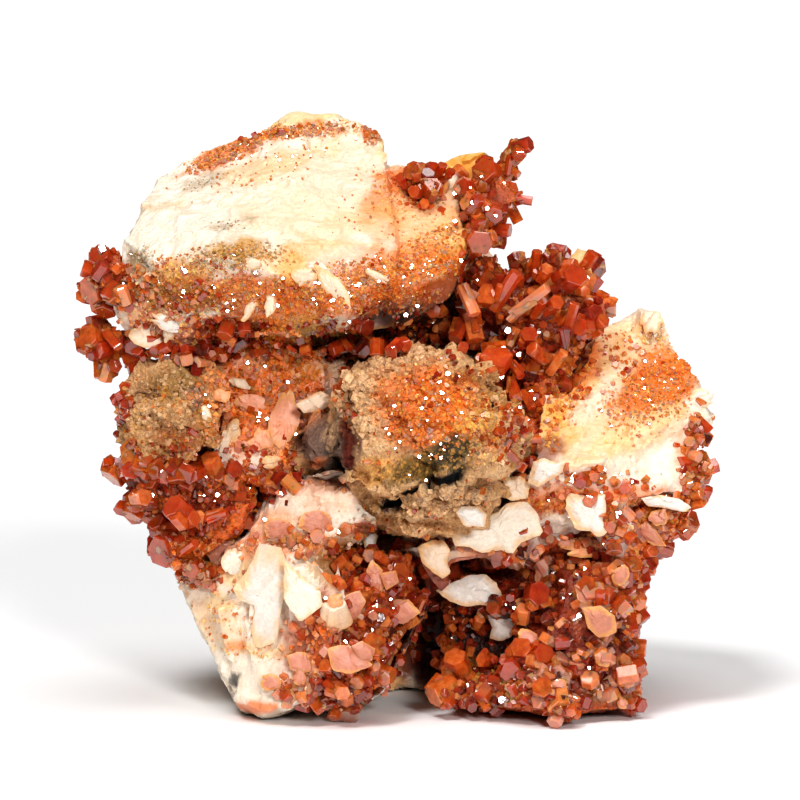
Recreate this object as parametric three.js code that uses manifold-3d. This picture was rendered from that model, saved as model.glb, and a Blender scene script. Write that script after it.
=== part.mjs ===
// Vanadinite on matrix: a hand-sized mineral specimen, 80 mm wide.
// White barite carries brown ironstone lumps and clusters of six-sided vanadinite crystals.
// Millimetres. X runs to the right, Y away from the viewer and Z up.
import * as THREE from "three";
import { ConvexGeometry } from "three/addons/geometries/ConvexGeometry.js";
import { MeshSurfaceSampler } from "three/addons/math/MeshSurfaceSampler.js";
import { ImprovedNoise } from "three/addons/math/ImprovedNoise.js";
import { TessellateModifier } from "three/addons/modifiers/TessellateModifier.js";
import { mergeVertices } from "three/addons/utils/BufferGeometryUtils.js";
import Module from "manifold-3d";

const wasm = await Module();
wasm.setup();

// Places are written as [column, row, depth]. Column and row are read on the front view in
// eighths of a millimetre, from its upper left corner, and depth is Y in millimetres.
const UNIT = 0.125;
const CENTRE_COLUMN = 400;
const FOOT_ROW = 718;
const FOOT_DEPTH = -15;
const VIEW_TILT = THREE.MathUtils.degToRad(6);

// Space left between two minerals that touch.
const GAP = 0.3;
// How far the noise repeats on the stone, and the share of its second, finer octave.
const NOISE_SIZE = 5.5;
const FINE_SHARE = 0.5;
const WELD = 1e-4;

function place([column, row, depth]) {
  const up = (FOOT_ROW - row) * UNIT;
  const height = (up - (depth - FOOT_DEPTH) * Math.sin(VIEW_TILT)) / Math.cos(VIEW_TILT);
  return new THREE.Vector3((column - CENTRE_COLUMN) * UNIT, depth, height);
}

// A repeatable random number from 0 to 1.
function randomFrom(seed) {
  let state = seed;
  return () => {
    state = (state * 1664525 + 1013904223) % 4294967296;
    return state / 4294967296;
  };
}

const noise = new ImprovedNoise();

function roughness(point, seed) {
  const p = point.clone().divideScalar(NOISE_SIZE).addScalar(seed * 7.31);
  return noise.noise(p.x, p.y, p.z) + FINE_SHARE * noise.noise(2.3 * p.x, 2.3 * p.y, 2.3 * p.z);
}

function weld(geometry) {
  const bare = geometry.clone();
  for (const name of Object.keys(bare.attributes)) {
    if (name !== "position") bare.deleteAttribute(name);
  }
  return mergeVertices(bare, WELD);
}

function solidOf(geometry) {
  const welded = weld(geometry);
  const mesh = new wasm.Mesh({
    numProp: 3,
    vertProperties: new Float32Array(welded.attributes.position.array),
    triVerts: new Uint32Array(welded.index.array),
  });
  return new wasm.Manifold(mesh);
}

function geometryOf(solid) {
  const mesh = solid.getMesh();
  const geometry = new THREE.BufferGeometry();
  geometry.setAttribute("position", new THREE.BufferAttribute(new Float32Array(mesh.vertProperties), 3));
  geometry.setIndex(new THREE.BufferAttribute(new Uint32Array(mesh.triVerts), 1));
  return geometry;
}

const join = (solids) => solids.reduce((sum, next) => sum.add(next));

// A lump of stone: the hull of its corners, its faces split to about grain and roughened.
// Grown by some millimetres, the same lump is the tool that cuts room for it.
function lump({ corners, grain = 4, rough = 1, seed = 1 }, grown = 0) {
  const hull = new ConvexGeometry(corners.map(place));
  const split = weld(new TessellateModifier(grain, 12).modify(hull));
  split.computeVertexNormals();
  const position = split.attributes.position;
  const point = new THREE.Vector3();
  const outward = new THREE.Vector3();
  for (let i = 0; i < position.count; i += 1) {
    point.fromBufferAttribute(position, i);
    outward.fromBufferAttribute(split.attributes.normal, i);
    point.addScaledVector(outward, rough * roughness(point, seed) + grown);
    position.setXYZ(i, point.x, point.y, point.z);
  }
  return split;
}

// A thin blade of barite with a ragged outline, drawn on the front view at one depth.
function blade({ outline, depth, thick, lean = 0, turn = 0 }, grown = 0) {
  const points = outline.map(([column, row]) => place([column, row, depth]));
  const middle = points.reduce((sum, p) => sum.add(p), new THREE.Vector3()).divideScalar(points.length);
  const shape = new THREE.Shape(points.map((p) => new THREE.Vector2(p.x - middle.x, p.z - middle.z)));
  const sheet = new THREE.ExtrudeGeometry(shape, {
    depth: thick,
    bevelEnabled: grown > 0,
    bevelSize: grown,
    bevelThickness: grown,
    bevelSegments: 1,
  });
  sheet.translate(0, 0, -thick / 2);
  sheet.rotateX(Math.PI / 2);
  sheet.rotateX(THREE.MathUtils.degToRad(lean));
  sheet.rotateZ(THREE.MathUtils.degToRad(turn));
  sheet.translate(middle.x, middle.y, middle.z);
  return sheet;
}

// A vanadinite crystal: a six-sided prism about its axis, with flat ends.
function crystal({ at, axis, radius, length, spin = 0 }, grown = 0) {
  const prism = new THREE.CylinderGeometry(radius + grown, radius + grown, length + 2 * grown, 6, 1);
  prism.rotateY(spin);
  const along = new THREE.Vector3(...axis).normalize();
  prism.applyQuaternion(new THREE.Quaternion().setFromUnitVectors(new THREE.Vector3(0, 1, 0), along));
  const centre = Array.isArray(at) ? place(at) : at;
  prism.translate(centre.x, centre.y, centre.z);
  return prism;
}

// Crystals sprinkled over a lump's front or back, standing out of its faces.
function sprinkle(base, { count, seed, radius, stretch, side = "front", keep = () => true }) {
  const random = randomFrom(seed);
  const surface = lump(base).toNonIndexed();
  surface.computeVertexNormals();
  const sampler = new MeshSurfaceSampler(new THREE.Mesh(surface)).setRandomGenerator(random).build();
  const found = [];
  const point = new THREE.Vector3();
  const outward = new THREE.Vector3();
  for (let tries = 0; found.length < count && tries < 60 * count; tries += 1) {
    sampler.sample(point, outward);
    const facing = side === "front" ? outward.y < 0.25 : outward.y > -0.1;
    const size = THREE.MathUtils.lerp(radius[0], radius[1], random() ** 2);
    const crowded = found.some((other) => other.at.distanceTo(point) < 0.8 * (other.radius + size));
    if (!facing || crowded || point.z < 1.2 * size || !keep(point)) continue;
    const length = size * THREE.MathUtils.lerp(stretch[0], stretch[1], random());
    const jitter = new THREE.Vector3(random() - 0.5, random() - 0.5, random() - 0.5);
    const along = outward.clone().addScaledVector(jitter, 1.5).normalize();
    const spin = random() * Math.PI;
    found.push({ at: point.clone(), axis: along.toArray(), radius: size, length, spin });
  }
  return found;
}

// The upper barite slab leans back, with its broad pale face to the upper front.
const slabLeft = {
  corners: [
    [138, 208, -7], [150, 174, -2], [190, 156, 1], [250, 131, 4], [290, 116, 6], [345, 114, 7],
    [383, 138, 5], [386, 165, 2], [124, 240, -10], [150, 262, -15], [230, 262, -20],
    [300, 284, -21], [345, 300, -20], [400, 280, -17], [118, 300, -8], [180, 330, -11],
    [260, 335, -13], [345, 335, -13], [170, 190, 16], [290, 135, 20], [375, 170, 18],
    [140, 290, 12], [260, 330, 14], [380, 330, 12],
  ],
  grain: 16,
  rough: 1.2,
  seed: 1,
};
const slabRight = {
  corners: [
    [384, 170, 3], [415, 162, 4], [440, 166, 4], [478, 172, 2], [490, 188, 0], [476, 232, -6],
    [462, 256, -9], [440, 278, -12], [395, 290, -16], [340, 240, -10], [400, 325, -9],
    [446, 298, -6], [400, 190, 16], [470, 195, 13], [462, 285, 10], [400, 325, 12],
  ],
  grain: 15,
  rough: 0.9,
  seed: 2,
};
const slabFoot = {
  corners: [
    [112, 300, -8], [128, 345, -6], [180, 352, -9], [235, 345, -11], [150, 290, -13],
    [215, 300, -14], [120, 330, 4], [180, 350, 6], [230, 340, 6], [140, 295, 4],
  ],
  grain: 16,
  rough: 0.9,
  seed: 3,
};
const rightBlock = {
  corners: [
    [592, 332, 3], [640, 312, 8], [664, 324, 7], [680, 354, 4], [700, 394, 0], [714, 414, -3],
    [704, 450, -6], [690, 490, -8], [640, 498, -12], [575, 490, -15], [530, 462, -14],
    [535, 412, -9], [558, 362, -2], [600, 345, 20], [660, 348, 20], [704, 430, 16],
    [690, 488, 14], [560, 480, 12], [560, 385, 14],
  ],
  grain: 15,
  rough: 1,
  seed: 4,
};
// The core joins everything and shows only in the pockets and on the back.
const core = {
  corners: [
    [150, 385, 1], [200, 335, 0], [420, 322, 3], [560, 320, 4], [670, 430, 2], [690, 500, -2],
    [640, 600, -3], [440, 590, 2], [235, 560, -3], [165, 470, 0], [170, 330, 20],
    [300, 230, 25], [520, 260, 24], [650, 400, 24], [650, 560, 20], [440, 620, 22],
    [220, 580, 20], [150, 440, 18],
  ],
  grain: 40,
  rough: 1.6,
  seed: 5,
};
const pocketWall = {
  corners: [
    [205, 375, -4], [300, 345, -3], [328, 380, -5], [332, 440, -7], [292, 472, -9],
    [220, 485, -8], [200, 440, -7], [210, 360, 6], [330, 360, 6], [330, 480, 6], [210, 490, 6],
  ],
  grain: 16,
  rough: 0.9,
  seed: 6,
};
const ridge = {
  corners: [
    [252, 540, -10], [290, 482, -11], [345, 460, -11], [388, 478, -14], [378, 522, -16],
    [335, 552, -15], [262, 562, -12], [250, 500, 4], [380, 470, 4], [380, 550, 4], [250, 570, 4],
  ],
  grain: 14,
  rough: 0.9,
  seed: 7,
};
const lowerLeft = {
  corners: [
    [250, 520, -9], [330, 540, -13], [352, 580, -15], [345, 640, -19], [318, 690, -20],
    [268, 709, -18], [236, 694, -14], [210, 648, -10], [188, 604, -6], [178, 572, -4],
    [205, 550, -5], [200, 600, 12], [232, 700, 12], [320, 722, 10], [370, 620, 8], [340, 520, 8],
    [205, 555, 10], [250, 740, 2],
  ],
  grain: 14,
  rough: 1,
  seed: 8,
};
const lowerMiddle = {
  corners: [
    [330, 560, -10], [420, 545, -8], [440, 590, -5], [400, 640, -8], [384, 690, -14],
    [330, 712, -16], [310, 660, -15], [330, 560, 8], [430, 570, 10], [395, 660, 8], [330, 720, 6],
  ],
  grain: 18,
  rough: 1,
  seed: 9,
};
const flakeBed = {
  corners: [
    [452, 500, -12], [520, 472, -13], [600, 488, -14], [640, 505, -11], [628, 545, -10],
    [540, 552, -10], [460, 545, -9], [450, 480, 4], [640, 490, 4], [640, 560, 4], [450, 570, 4],
  ],
  grain: 18,
  rough: 0.9,
  seed: 10,
};
// The back is a rough broken face with its own foot, so the specimen stands on three feet.
const backLump = {
  corners: [
    [180, 290, 18], [300, 190, 19], [480, 230, 18], [640, 380, 18], [655, 500, 17],
    [600, 640, 14], [250, 640, 14], [165, 440, 16], [260, 330, 27], [420, 300, 29],
    [560, 400, 28], [560, 560, 25], [330, 560, 26], [220, 440, 25],
  ],
  grain: 21,
  rough: 1.8,
  seed: 11,
};
const backFoot = {
  corners: [
    [300, 560, 8], [520, 560, 8], [540, 600, 24], [300, 600, 24], [290, 760, 10],
    [500, 760, 9], [510, 770, 22], [300, 770, 23],
  ],
  grain: 20,
  rough: 1.3,
  seed: 12,
};

const bariteLumps = [
  slabLeft, slabRight, slabFoot, rightBlock, core, pocketWall, ridge, lowerLeft, lowerMiddle,
  flakeBed, backLump, backFoot,
];

// Thin blades that stand out of the barite, each an outline drawn at one depth.
const bariteBlades = [
  {
    depth: 8, thick: 3,
    outline: [[446, 178], [462, 158], [478, 152], [492, 158], [498, 200], [470, 232], [440, 215]],
  },
  {
    depth: 2, thick: 2.4, turn: -12,
    outline: [[560, 262], [572, 252], [590, 256], [592, 290], [586, 340], [562, 350]],
  },
  {
    depth: -13, thick: 2, lean: 18,
    outline: [[520, 484], [531, 460], [542, 468], [560, 458], [604, 452], [590, 486]],
  },
  {
    depth: -13, thick: 3.5, lean: -8,
    outline: [[588, 486], [626, 494], [634, 528], [618, 560], [600, 548], [584, 520]],
  },
  {
    depth: -12, thick: 2.2, lean: -6,
    outline: [[452, 506], [520, 500], [542, 548], [512, 572], [480, 560], [450, 564]],
  },
  {
    depth: -11, thick: 2,
    outline: [[414, 552], [432, 538], [452, 548], [452, 580], [440, 596], [426, 578]],
  },
  {
    depth: -14, thick: 3, lean: 6, turn: 12,
    outline: [[248, 566], [286, 548], [300, 610], [288, 700], [262, 706], [246, 640]],
  },
  {
    depth: -17, thick: 2.4, lean: 10, turn: -10,
    outline: [[288, 560], [318, 560], [344, 590], [310, 650], [292, 690]],
  },
  {
    depth: -12, thick: 2.6, lean: 8, turn: 20,
    outline: [[212, 600], [246, 590], [262, 650], [258, 702], [236, 690]],
  },
  {
    depth: -19, thick: 2.4, lean: -14, turn: -16,
    outline: [[306, 268], [322, 262], [346, 286], [356, 318], [336, 322]],
  },
  {
    depth: 6, thick: 3, turn: 8,
    outline: [[640, 306], [662, 308], [672, 336], [650, 352], [632, 330]],
  },
  {
    depth: -1, thick: 3,
    outline: [[696, 402], [720, 416], [712, 440], [694, 448]],
  },
];

// Brown ironstone: a boulder at the middle with a ledge under a dark crack, a lump at the left
// edge and a chip in the pocket between them.
const boulder = [
  {
    corners: [
      [336, 404, -15], [350, 374, -14], [388, 354, -14], [425, 346, -13], [462, 352, -14],
      [488, 376, -16], [506, 410, -19], [516, 450, -18], [500, 468, -21], [450, 484, -24],
      [392, 496, -22], [352, 480, -20], [420, 410, -25], [466, 430, -25], [340, 440, 0],
      [370, 370, 2], [480, 370, 2], [520, 450, 0], [450, 480, 0], [360, 490, 0],
    ],
    grain: 12.5,
    rough: 1.3,
    seed: 21,
  },
  {
    corners: [
      [362, 498, -15], [396, 524, -17], [440, 531, -18], [492, 518, -18], [508, 488, -18],
      [470, 492, -22], [410, 512, -20], [370, 490, -4], [510, 480, -4], [490, 530, -4], [390, 530, -4],
    ],
    grain: 14,
    rough: 0.9,
    seed: 22,
  },
  {
    corners: [
      [380, 490, -2], [500, 460, -2], [500, 520, -2], [390, 520, -2],
      [390, 480, -14], [498, 462, -15], [498, 512, -14], [392, 510, -14],
    ],
    grain: 13,
    rough: 0.2,
    seed: 23,
  },
];
const leftLump = [
  {
    corners: [
      [128, 388, -9], [160, 371, -9], [206, 369, -10], [219, 400, -11], [215, 440, -12],
      [190, 466, -11], [150, 462, -9], [122, 442, -7], [112, 410, -6], [170, 410, -14],
      [130, 380, 3], [210, 375, 3], [215, 460, 3], [140, 460, 3],
    ],
    grain: 9,
    rough: 1.1,
    seed: 24,
  },
];
const pocketChip = [
  {
    corners: [
      [303, 434, -10], [311, 418, -11], [341, 418, -10], [353, 440, -10], [345, 466, -11],
      [325, 477, -10], [306, 462, -10], [326, 440, -13], [305, 430, -1], [350, 425, -1],
      [348, 470, -1], [308, 470, -1],
    ],
    grain: 8,
    rough: 0.7,
    seed: 25,
  },
];

// The vanadinite clusters. Each has a crust that its crystals grow from, the larger crystals one
// by one, and smaller ones sprinkled over the crust.
const leftRim = {
  crust: [
    {
      corners: [
        [98, 258, -7], [122, 246, -8], [136, 270, -10], [134, 304, -9], [108, 308, -6],
        [92, 286, -5], [102, 262, 2], [130, 258, 2], [134, 304, 2], [104, 300, 2],
      ],
      grain: 20,
      rough: 0.4,
      seed: 31,
    },
  ],
  crystals: [
    { at: [104, 258, -7], axis: [-0.5, -0.75, 0.45], radius: 1.9, length: 3.2, spin: 0.3 },
    { at: [95, 290, -6], axis: [-0.55, -0.8, -0.1], radius: 2.2, length: 2.8, spin: 0.1 },
    { at: [110, 280, -9], axis: [0.1, -0.9, 0.5], radius: 1.7, length: 3, spin: 0.5 },
    { at: [124, 298, -10], axis: [0.2, -0.95, 0.1], radius: 1.5, length: 3, spin: 0.2 },
    { at: [128, 272, -10], axis: [0.6, -0.7, 0.4], radius: 1.1, length: 2.6, spin: 0.6 },
    { at: [108, 306, -6], axis: [-0.3, -0.6, -0.7], radius: 1.5, length: 2.6, spin: 0.9 },
    { at: [112, 268, 0], axis: [-0.8, 0.3, 0.5], radius: 1.8, length: 4, spin: 0.4 },
  ],
  sprinkled: [],
};
const leftTip = {
  crust: [
    {
      corners: [
        [94, 332, -5], [118, 322, -6], [130, 344, -7], [124, 362, -5], [98, 362, -3],
        [100, 330, 1], [128, 330, 1], [126, 360, 1], [100, 352, 1],
      ],
      grain: 11,
      rough: 0.4,
      seed: 32,
    },
  ],
  crystals: [
    { at: [90, 341, -6], axis: [-0.5, -0.8, 0.25], radius: 2.2, length: 3, spin: 0.35 },
    { at: [104, 360, -4], axis: [0.05, -0.2, -1], radius: 1.85, length: 5, spin: 0.5 },
    { at: [98, 326, -3], axis: [-0.2, 0.1, 1], radius: 1.5, length: 3, spin: 0.2 },
    { at: [133, 362, -6], axis: [0.2, -0.3, -0.9], radius: 1.0, length: 3, spin: 0.3 },
    { at: [92, 344, 1], axis: [-0.8, 0.5, 0], radius: 1.6, length: 3.6, spin: 0.1 },
  ],
  sprinkled: [],
};
const leftMiddle = {
  crust: [
    {
      corners: [
        [118, 452, -6], [150, 446, -9], [205, 474, -10], [262, 486, -8], [250, 530, -9],
        [205, 560, -8], [172, 574, -4], [160, 540, -5], [126, 494, -4], [112, 470, -3],
        [126, 455, 4], [250, 480, 4], [250, 540, 4], [180, 570, 4], [140, 510, 4],
      ],
      grain: 11,
      rough: 0.7,
      seed: 33,
    },
  ],
  crystals: [
    { at: [136, 452, -9], axis: [-0.35, -0.9, 0.25], radius: 2.4, length: 3, spin: 0.25 },
    { at: [114, 474, -6], axis: [-0.6, -0.35, -0.7], radius: 2.2, length: 1.6, spin: 0.4 },
    { at: [126, 470, -6], axis: [-0.2, -0.8, 0.6], radius: 1.8, length: 2.4, spin: 0.1 },
    { at: [140, 502, -8], axis: [0.15, -0.35, -0.9], radius: 2.4, length: 1.5, spin: 0.7 },
    { at: [133, 511, -5], axis: [-0.3, -0.4, -0.85], radius: 1.8, length: 1.8, spin: 0.2 },
    { at: [148, 482, -9], axis: [-0.1, -0.9, 0.3], radius: 1.5, length: 3, spin: 0.6 },
    { at: [179, 510, -12], axis: [-0.55, -0.65, 0.55], radius: 1.9, length: 3.2, spin: 0.95 },
    { at: [190, 520, -12], axis: [0.5, -0.7, 0.3], radius: 1.2, length: 2.6, spin: 0.3 },
    { at: [169, 549, -8], axis: [-0.7, -0.65, -0.1], radius: 2.5, length: 3.6, spin: 0.35 },
    { at: [162, 528, -6], axis: [-0.5, -0.5, 0.6], radius: 1.4, length: 3, spin: 0.1 },
    { at: [193, 566, -9], axis: [-0.1, -0.9, -0.2], radius: 1.3, length: 3, spin: 0.5 },
    { at: [206, 578, -8], axis: [0.1, -0.9, -0.4], radius: 1.0, length: 2.6, spin: 0.2 },
    { at: [118, 470, 3], axis: [-0.9, 0.3, 0.2], radius: 1.8, length: 4, spin: 0.3 },
    { at: [140, 508, 2], axis: [-0.7, 0.4, -0.6], radius: 1.9, length: 4, spin: 0.6 },
    { at: [164, 545, 3], axis: [-0.9, 0.4, -0.1], radius: 1.8, length: 4, spin: 0.1 },
  ],
  sprinkled: [],
};
const slabCrystals = {
  crust: [
    {
      corners: [
        [398, 178, -1], [416, 164, 0], [440, 168, 0], [446, 186, -2], [430, 206, -4],
        [408, 198, -3], [402, 180, 6], [440, 176, 6], [430, 200, 5],
      ],
      grain: 13,
      rough: 0.3,
      seed: 34,
    },
  ],
  crystals: [
    { at: [415, 173, -2], axis: [-0.2, -0.85, 0.5], radius: 1.35, length: 2.6, spin: 0.2 },
    { at: [431, 190, -4], axis: [0.2, -0.8, 0.6], radius: 1.45, length: 2.8, spin: 0.5 },
  ],
  sprinkled: [],
};
const topSpray = {
  crust: [
    {
      corners: [
        [462, 182, -2], [490, 170, -1], [506, 190, -2], [500, 216, -3], [486, 250, -5],
        [466, 250, -7], [462, 215, -6], [470, 180, 7], [502, 185, 6], [498, 220, 6],
        [488, 252, 5], [468, 248, 5],
      ],
      grain: 11,
      rough: 0.4,
      seed: 35,
    },
  ],
  crystals: [
    { at: [512, 161, -1], axis: [0.32, -0.12, 0.94], radius: 1.5, length: 6, spin: 0.35 },
    { at: [487, 173, -4], axis: [-0.35, -0.85, 0.3], radius: 1.95, length: 3.2, spin: 0.25 },
    { at: [467, 189, -5], axis: [-0.45, -0.8, 0.1], radius: 1.7, length: 3, spin: 0.1 },
    { at: [500, 198, -4], axis: [0.45, -0.75, 0.35], radius: 2.2, length: 3.6, spin: 0.6 },
    { at: [492, 210, -6], axis: [0.1, -0.85, -0.4], radius: 1.6, length: 3, spin: 0.15 },
    { at: [511, 208, -2], axis: [0.45, -0.1, -0.88], radius: 0.95, length: 4.4, spin: 0.3 },
    { at: [476, 211, -7], axis: [-0.2, -0.8, 0.5], radius: 1.1, length: 2.8, spin: 0.5 },
    { at: [478, 226, -7], axis: [0, -0.45, 0.9], radius: 1.3, length: 2.4, spin: 0.1 },
    { at: [479, 241, -7], axis: [0.2, -0.95, -0.15], radius: 2.15, length: 3.4, spin: 0.4 },
    { at: [490, 238, -3], axis: [0.8, -0.3, 0.1], radius: 1.5, length: 3.2, spin: 0.2 },
    { at: [498, 176, 6], axis: [0.6, 0.5, 0.6], radius: 1.6, length: 4.4, spin: 0.6 },
    { at: [500, 206, 7], axis: [0.8, 0.6, -0.1], radius: 1.6, length: 4, spin: 0.1 },
    { at: [484, 236, 7], axis: [0.7, 0.7, 0], radius: 1.5, length: 3.6, spin: 0.3 },
  ],
  sprinkled: [],
};
const saddle = {
  crust: [
    {
      corners: [
        [448, 286, -1], [480, 262, -1], [540, 262, 1], [588, 262, 2], [602, 310, 1],
        [588, 345, -2], [556, 420, -7], [528, 458, -9], [512, 430, -4], [490, 380, -1],
        [462, 330, 0], [460, 280, 12], [590, 270, 12], [590, 350, 10], [530, 455, 4],
      ],
      grain: 16,
      rough: 0.9,
      seed: 36,
    },
  ],
  crystals: [
    { at: [488, 268, -3], axis: [0.45, -0.75, 0.4], radius: 1.9, length: 3.4, spin: 0.2 },
    { at: [508, 292, -6], axis: [0.62, -0.2, 0.76], radius: 1.05, length: 7, spin: 0.3 },
    { at: [530, 303, -6], axis: [0.7, -0.3, 0.65], radius: 0.95, length: 6.6, spin: 0.8 },
    { at: [462, 305, -5], axis: [-0.4, -0.5, -0.75], radius: 1.5, length: 4.4, spin: 0.5 },
    { at: [472, 328, -5], axis: [0.2, -0.5, -0.85], radius: 1.4, length: 4, spin: 0.1 },
    { at: [484, 296, -5], axis: [0.2, -0.9, 0.3], radius: 1.7, length: 3, spin: 0.4 },
    { at: [544, 273, -4], axis: [0.3, -0.75, 0.55], radius: 1.1, length: 2.8, spin: 0.9 },
    { at: [553, 257, 0], axis: [-0.1, -0.5, 0.85], radius: 1.5, length: 3.2, spin: 0.5 },
    { at: [570, 279, -4], axis: [0.35, -0.85, 0.3], radius: 2.15, length: 3.8, spin: 0.15 },
    { at: [587, 262, 2], axis: [0.5, -0.3, 0.8], radius: 1.0, length: 3.4, spin: 0.3 },
    { at: [598, 306, 0], axis: [0.78, -0.3, -0.5], radius: 0.9, length: 5, spin: 0.1 },
    { at: [554, 306, -6], axis: [-0.1, -0.85, 0.5], radius: 1.3, length: 2.6, spin: 0.3 },
    { at: [571, 317, -6], axis: [0.25, -0.3, 0.92], radius: 0.75, length: 4.2, spin: 0.6 },
    { at: [565, 340, -6], axis: [0.1, -0.35, 0.92], radius: 0.75, length: 3.8, spin: 0.1 },
    { at: [529, 337, -6], axis: [0.05, -0.9, 0.4], radius: 1.35, length: 2.8, spin: 0.5 },
    { at: [496, 361, -7], axis: [0.05, -0.6, 0.78], radius: 2.45, length: 2, spin: 0.52 },
    { at: [464, 372, -6], axis: [-0.3, -0.8, 0.5], radius: 1.2, length: 3.4, spin: 0.4 },
    { at: [538, 354, -7], axis: [-0.6, -0.6, 0.55], radius: 1, length: 3.2, spin: 0.4 },
    { at: [556, 362, -6], axis: [0.5, -0.4, 0.75], radius: 0.8, length: 4, spin: 0.2 },
    { at: [590, 272, 11], axis: [0.5, 0.7, 0.5], radius: 1.8, length: 4.4, spin: 0.2 },
    { at: [560, 262, 11], axis: [0.1, 0.6, 0.8], radius: 1.6, length: 4, spin: 0.6 },
    { at: [520, 268, 11], axis: [-0.2, 0.5, 0.85], radius: 1.5, length: 4, spin: 0.3 },
  ],
  sprinkled: [{ count: 4, seed: 43, radius: [0.55, 1.15], stretch: [2, 3.6] }],
};
// The crystals that line the deep pocket under the slab are one crust.
const pocketCrust = {
  crust: [
    {
      corners: [
        [205, 318, -6], [262, 330, -8], [345, 330, -8], [430, 300, -4], [456, 312, 0],
        [440, 350, 3], [330, 372, 0], [250, 362, -1], [196, 352, -3], [210, 320, 6],
        [440, 310, 8], [430, 356, 8], [220, 366, 6],
      ],
      grain: 15,
      rough: 0.8,
      seed: 37,
    },
  ],
  crystals: [
    { at: [243, 318, -11], axis: [0.1, -0.6, -0.8], radius: 1.1, length: 5, spin: 0.2 },
    { at: [229, 323, -11], axis: [-0.3, -0.6, -0.75], radius: 1.3, length: 4.6, spin: 0.4 },
    { at: [213, 347, -7], axis: [-0.6, -0.6, -0.4], radius: 1, length: 3.6, spin: 0.1 },
    { at: [266, 348, -5], axis: [-0.8, -0.5, -0.3], radius: 0.8, length: 4.2, spin: 0.6 },
    { at: [280, 342, -6], axis: [0.3, -0.6, 0.75], radius: 0.8, length: 4, spin: 0.3 },
    { at: [362, 322, -9], axis: [0.5, -0.7, -0.4], radius: 1.5, length: 3.2, spin: 0.1 },
    { at: [402, 316, -7], axis: [0.4, -0.8, -0.3], radius: 1.1, length: 3, spin: 0.6 },
  ],
  sprinkled: [{ count: 5, seed: 44, radius: [0.5, 1.05], stretch: [2, 3.6] }],
};
const lowerCentre = {
  crust: [
    {
      corners: [
        [352, 545, -12], [412, 548, -11], [424, 590, -8], [402, 632, -9], [386, 668, -13],
        [372, 700, -16], [318, 704, -18], [322, 670, -18], [346, 640, -18], [330, 600, -16],
        [356, 560, 0], [415, 560, 0], [390, 660, 0], [340, 700, -2],
      ],
      grain: 13,
      rough: 0.8,
      seed: 38,
    },
  ],
  crystals: [
    { at: [372, 648, -18], axis: [0.4, -0.75, 0.5], radius: 1.9, length: 2.8, spin: 0.3 },
    { at: [352, 655, -19], axis: [-0.2, -0.85, 0.45], radius: 1.8, length: 2.6, spin: 0.1 },
    { at: [338, 690, -20], axis: [0.1, -0.9, 0.2], radius: 1.5, length: 3, spin: 0.5 },
    { at: [380, 672, -16], axis: [0.85, -0.4, -0.2], radius: 1.5, length: 3.6, spin: 0.2 },
    { at: [330, 668, -20], axis: [-0.2, -0.8, 0.5], radius: 1.3, length: 2.6, spin: 0.6 },
    { at: [374, 616, -15], axis: [0.2, -0.9, 0.1], radius: 1.7, length: 2.8, spin: 0.4 },
    { at: [326, 582, -17], axis: [-0.1, -0.9, 0.3], radius: 1.2, length: 2.6, spin: 0.2 },
    { at: [398, 574, -12], axis: [0.3, -0.85, 0.3], radius: 1.6, length: 2.6, spin: 0.6 },
  ],
  sprinkled: [{ count: 6, seed: 45, radius: [0.6, 1.35], stretch: [1.7, 3] }],
};
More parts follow.
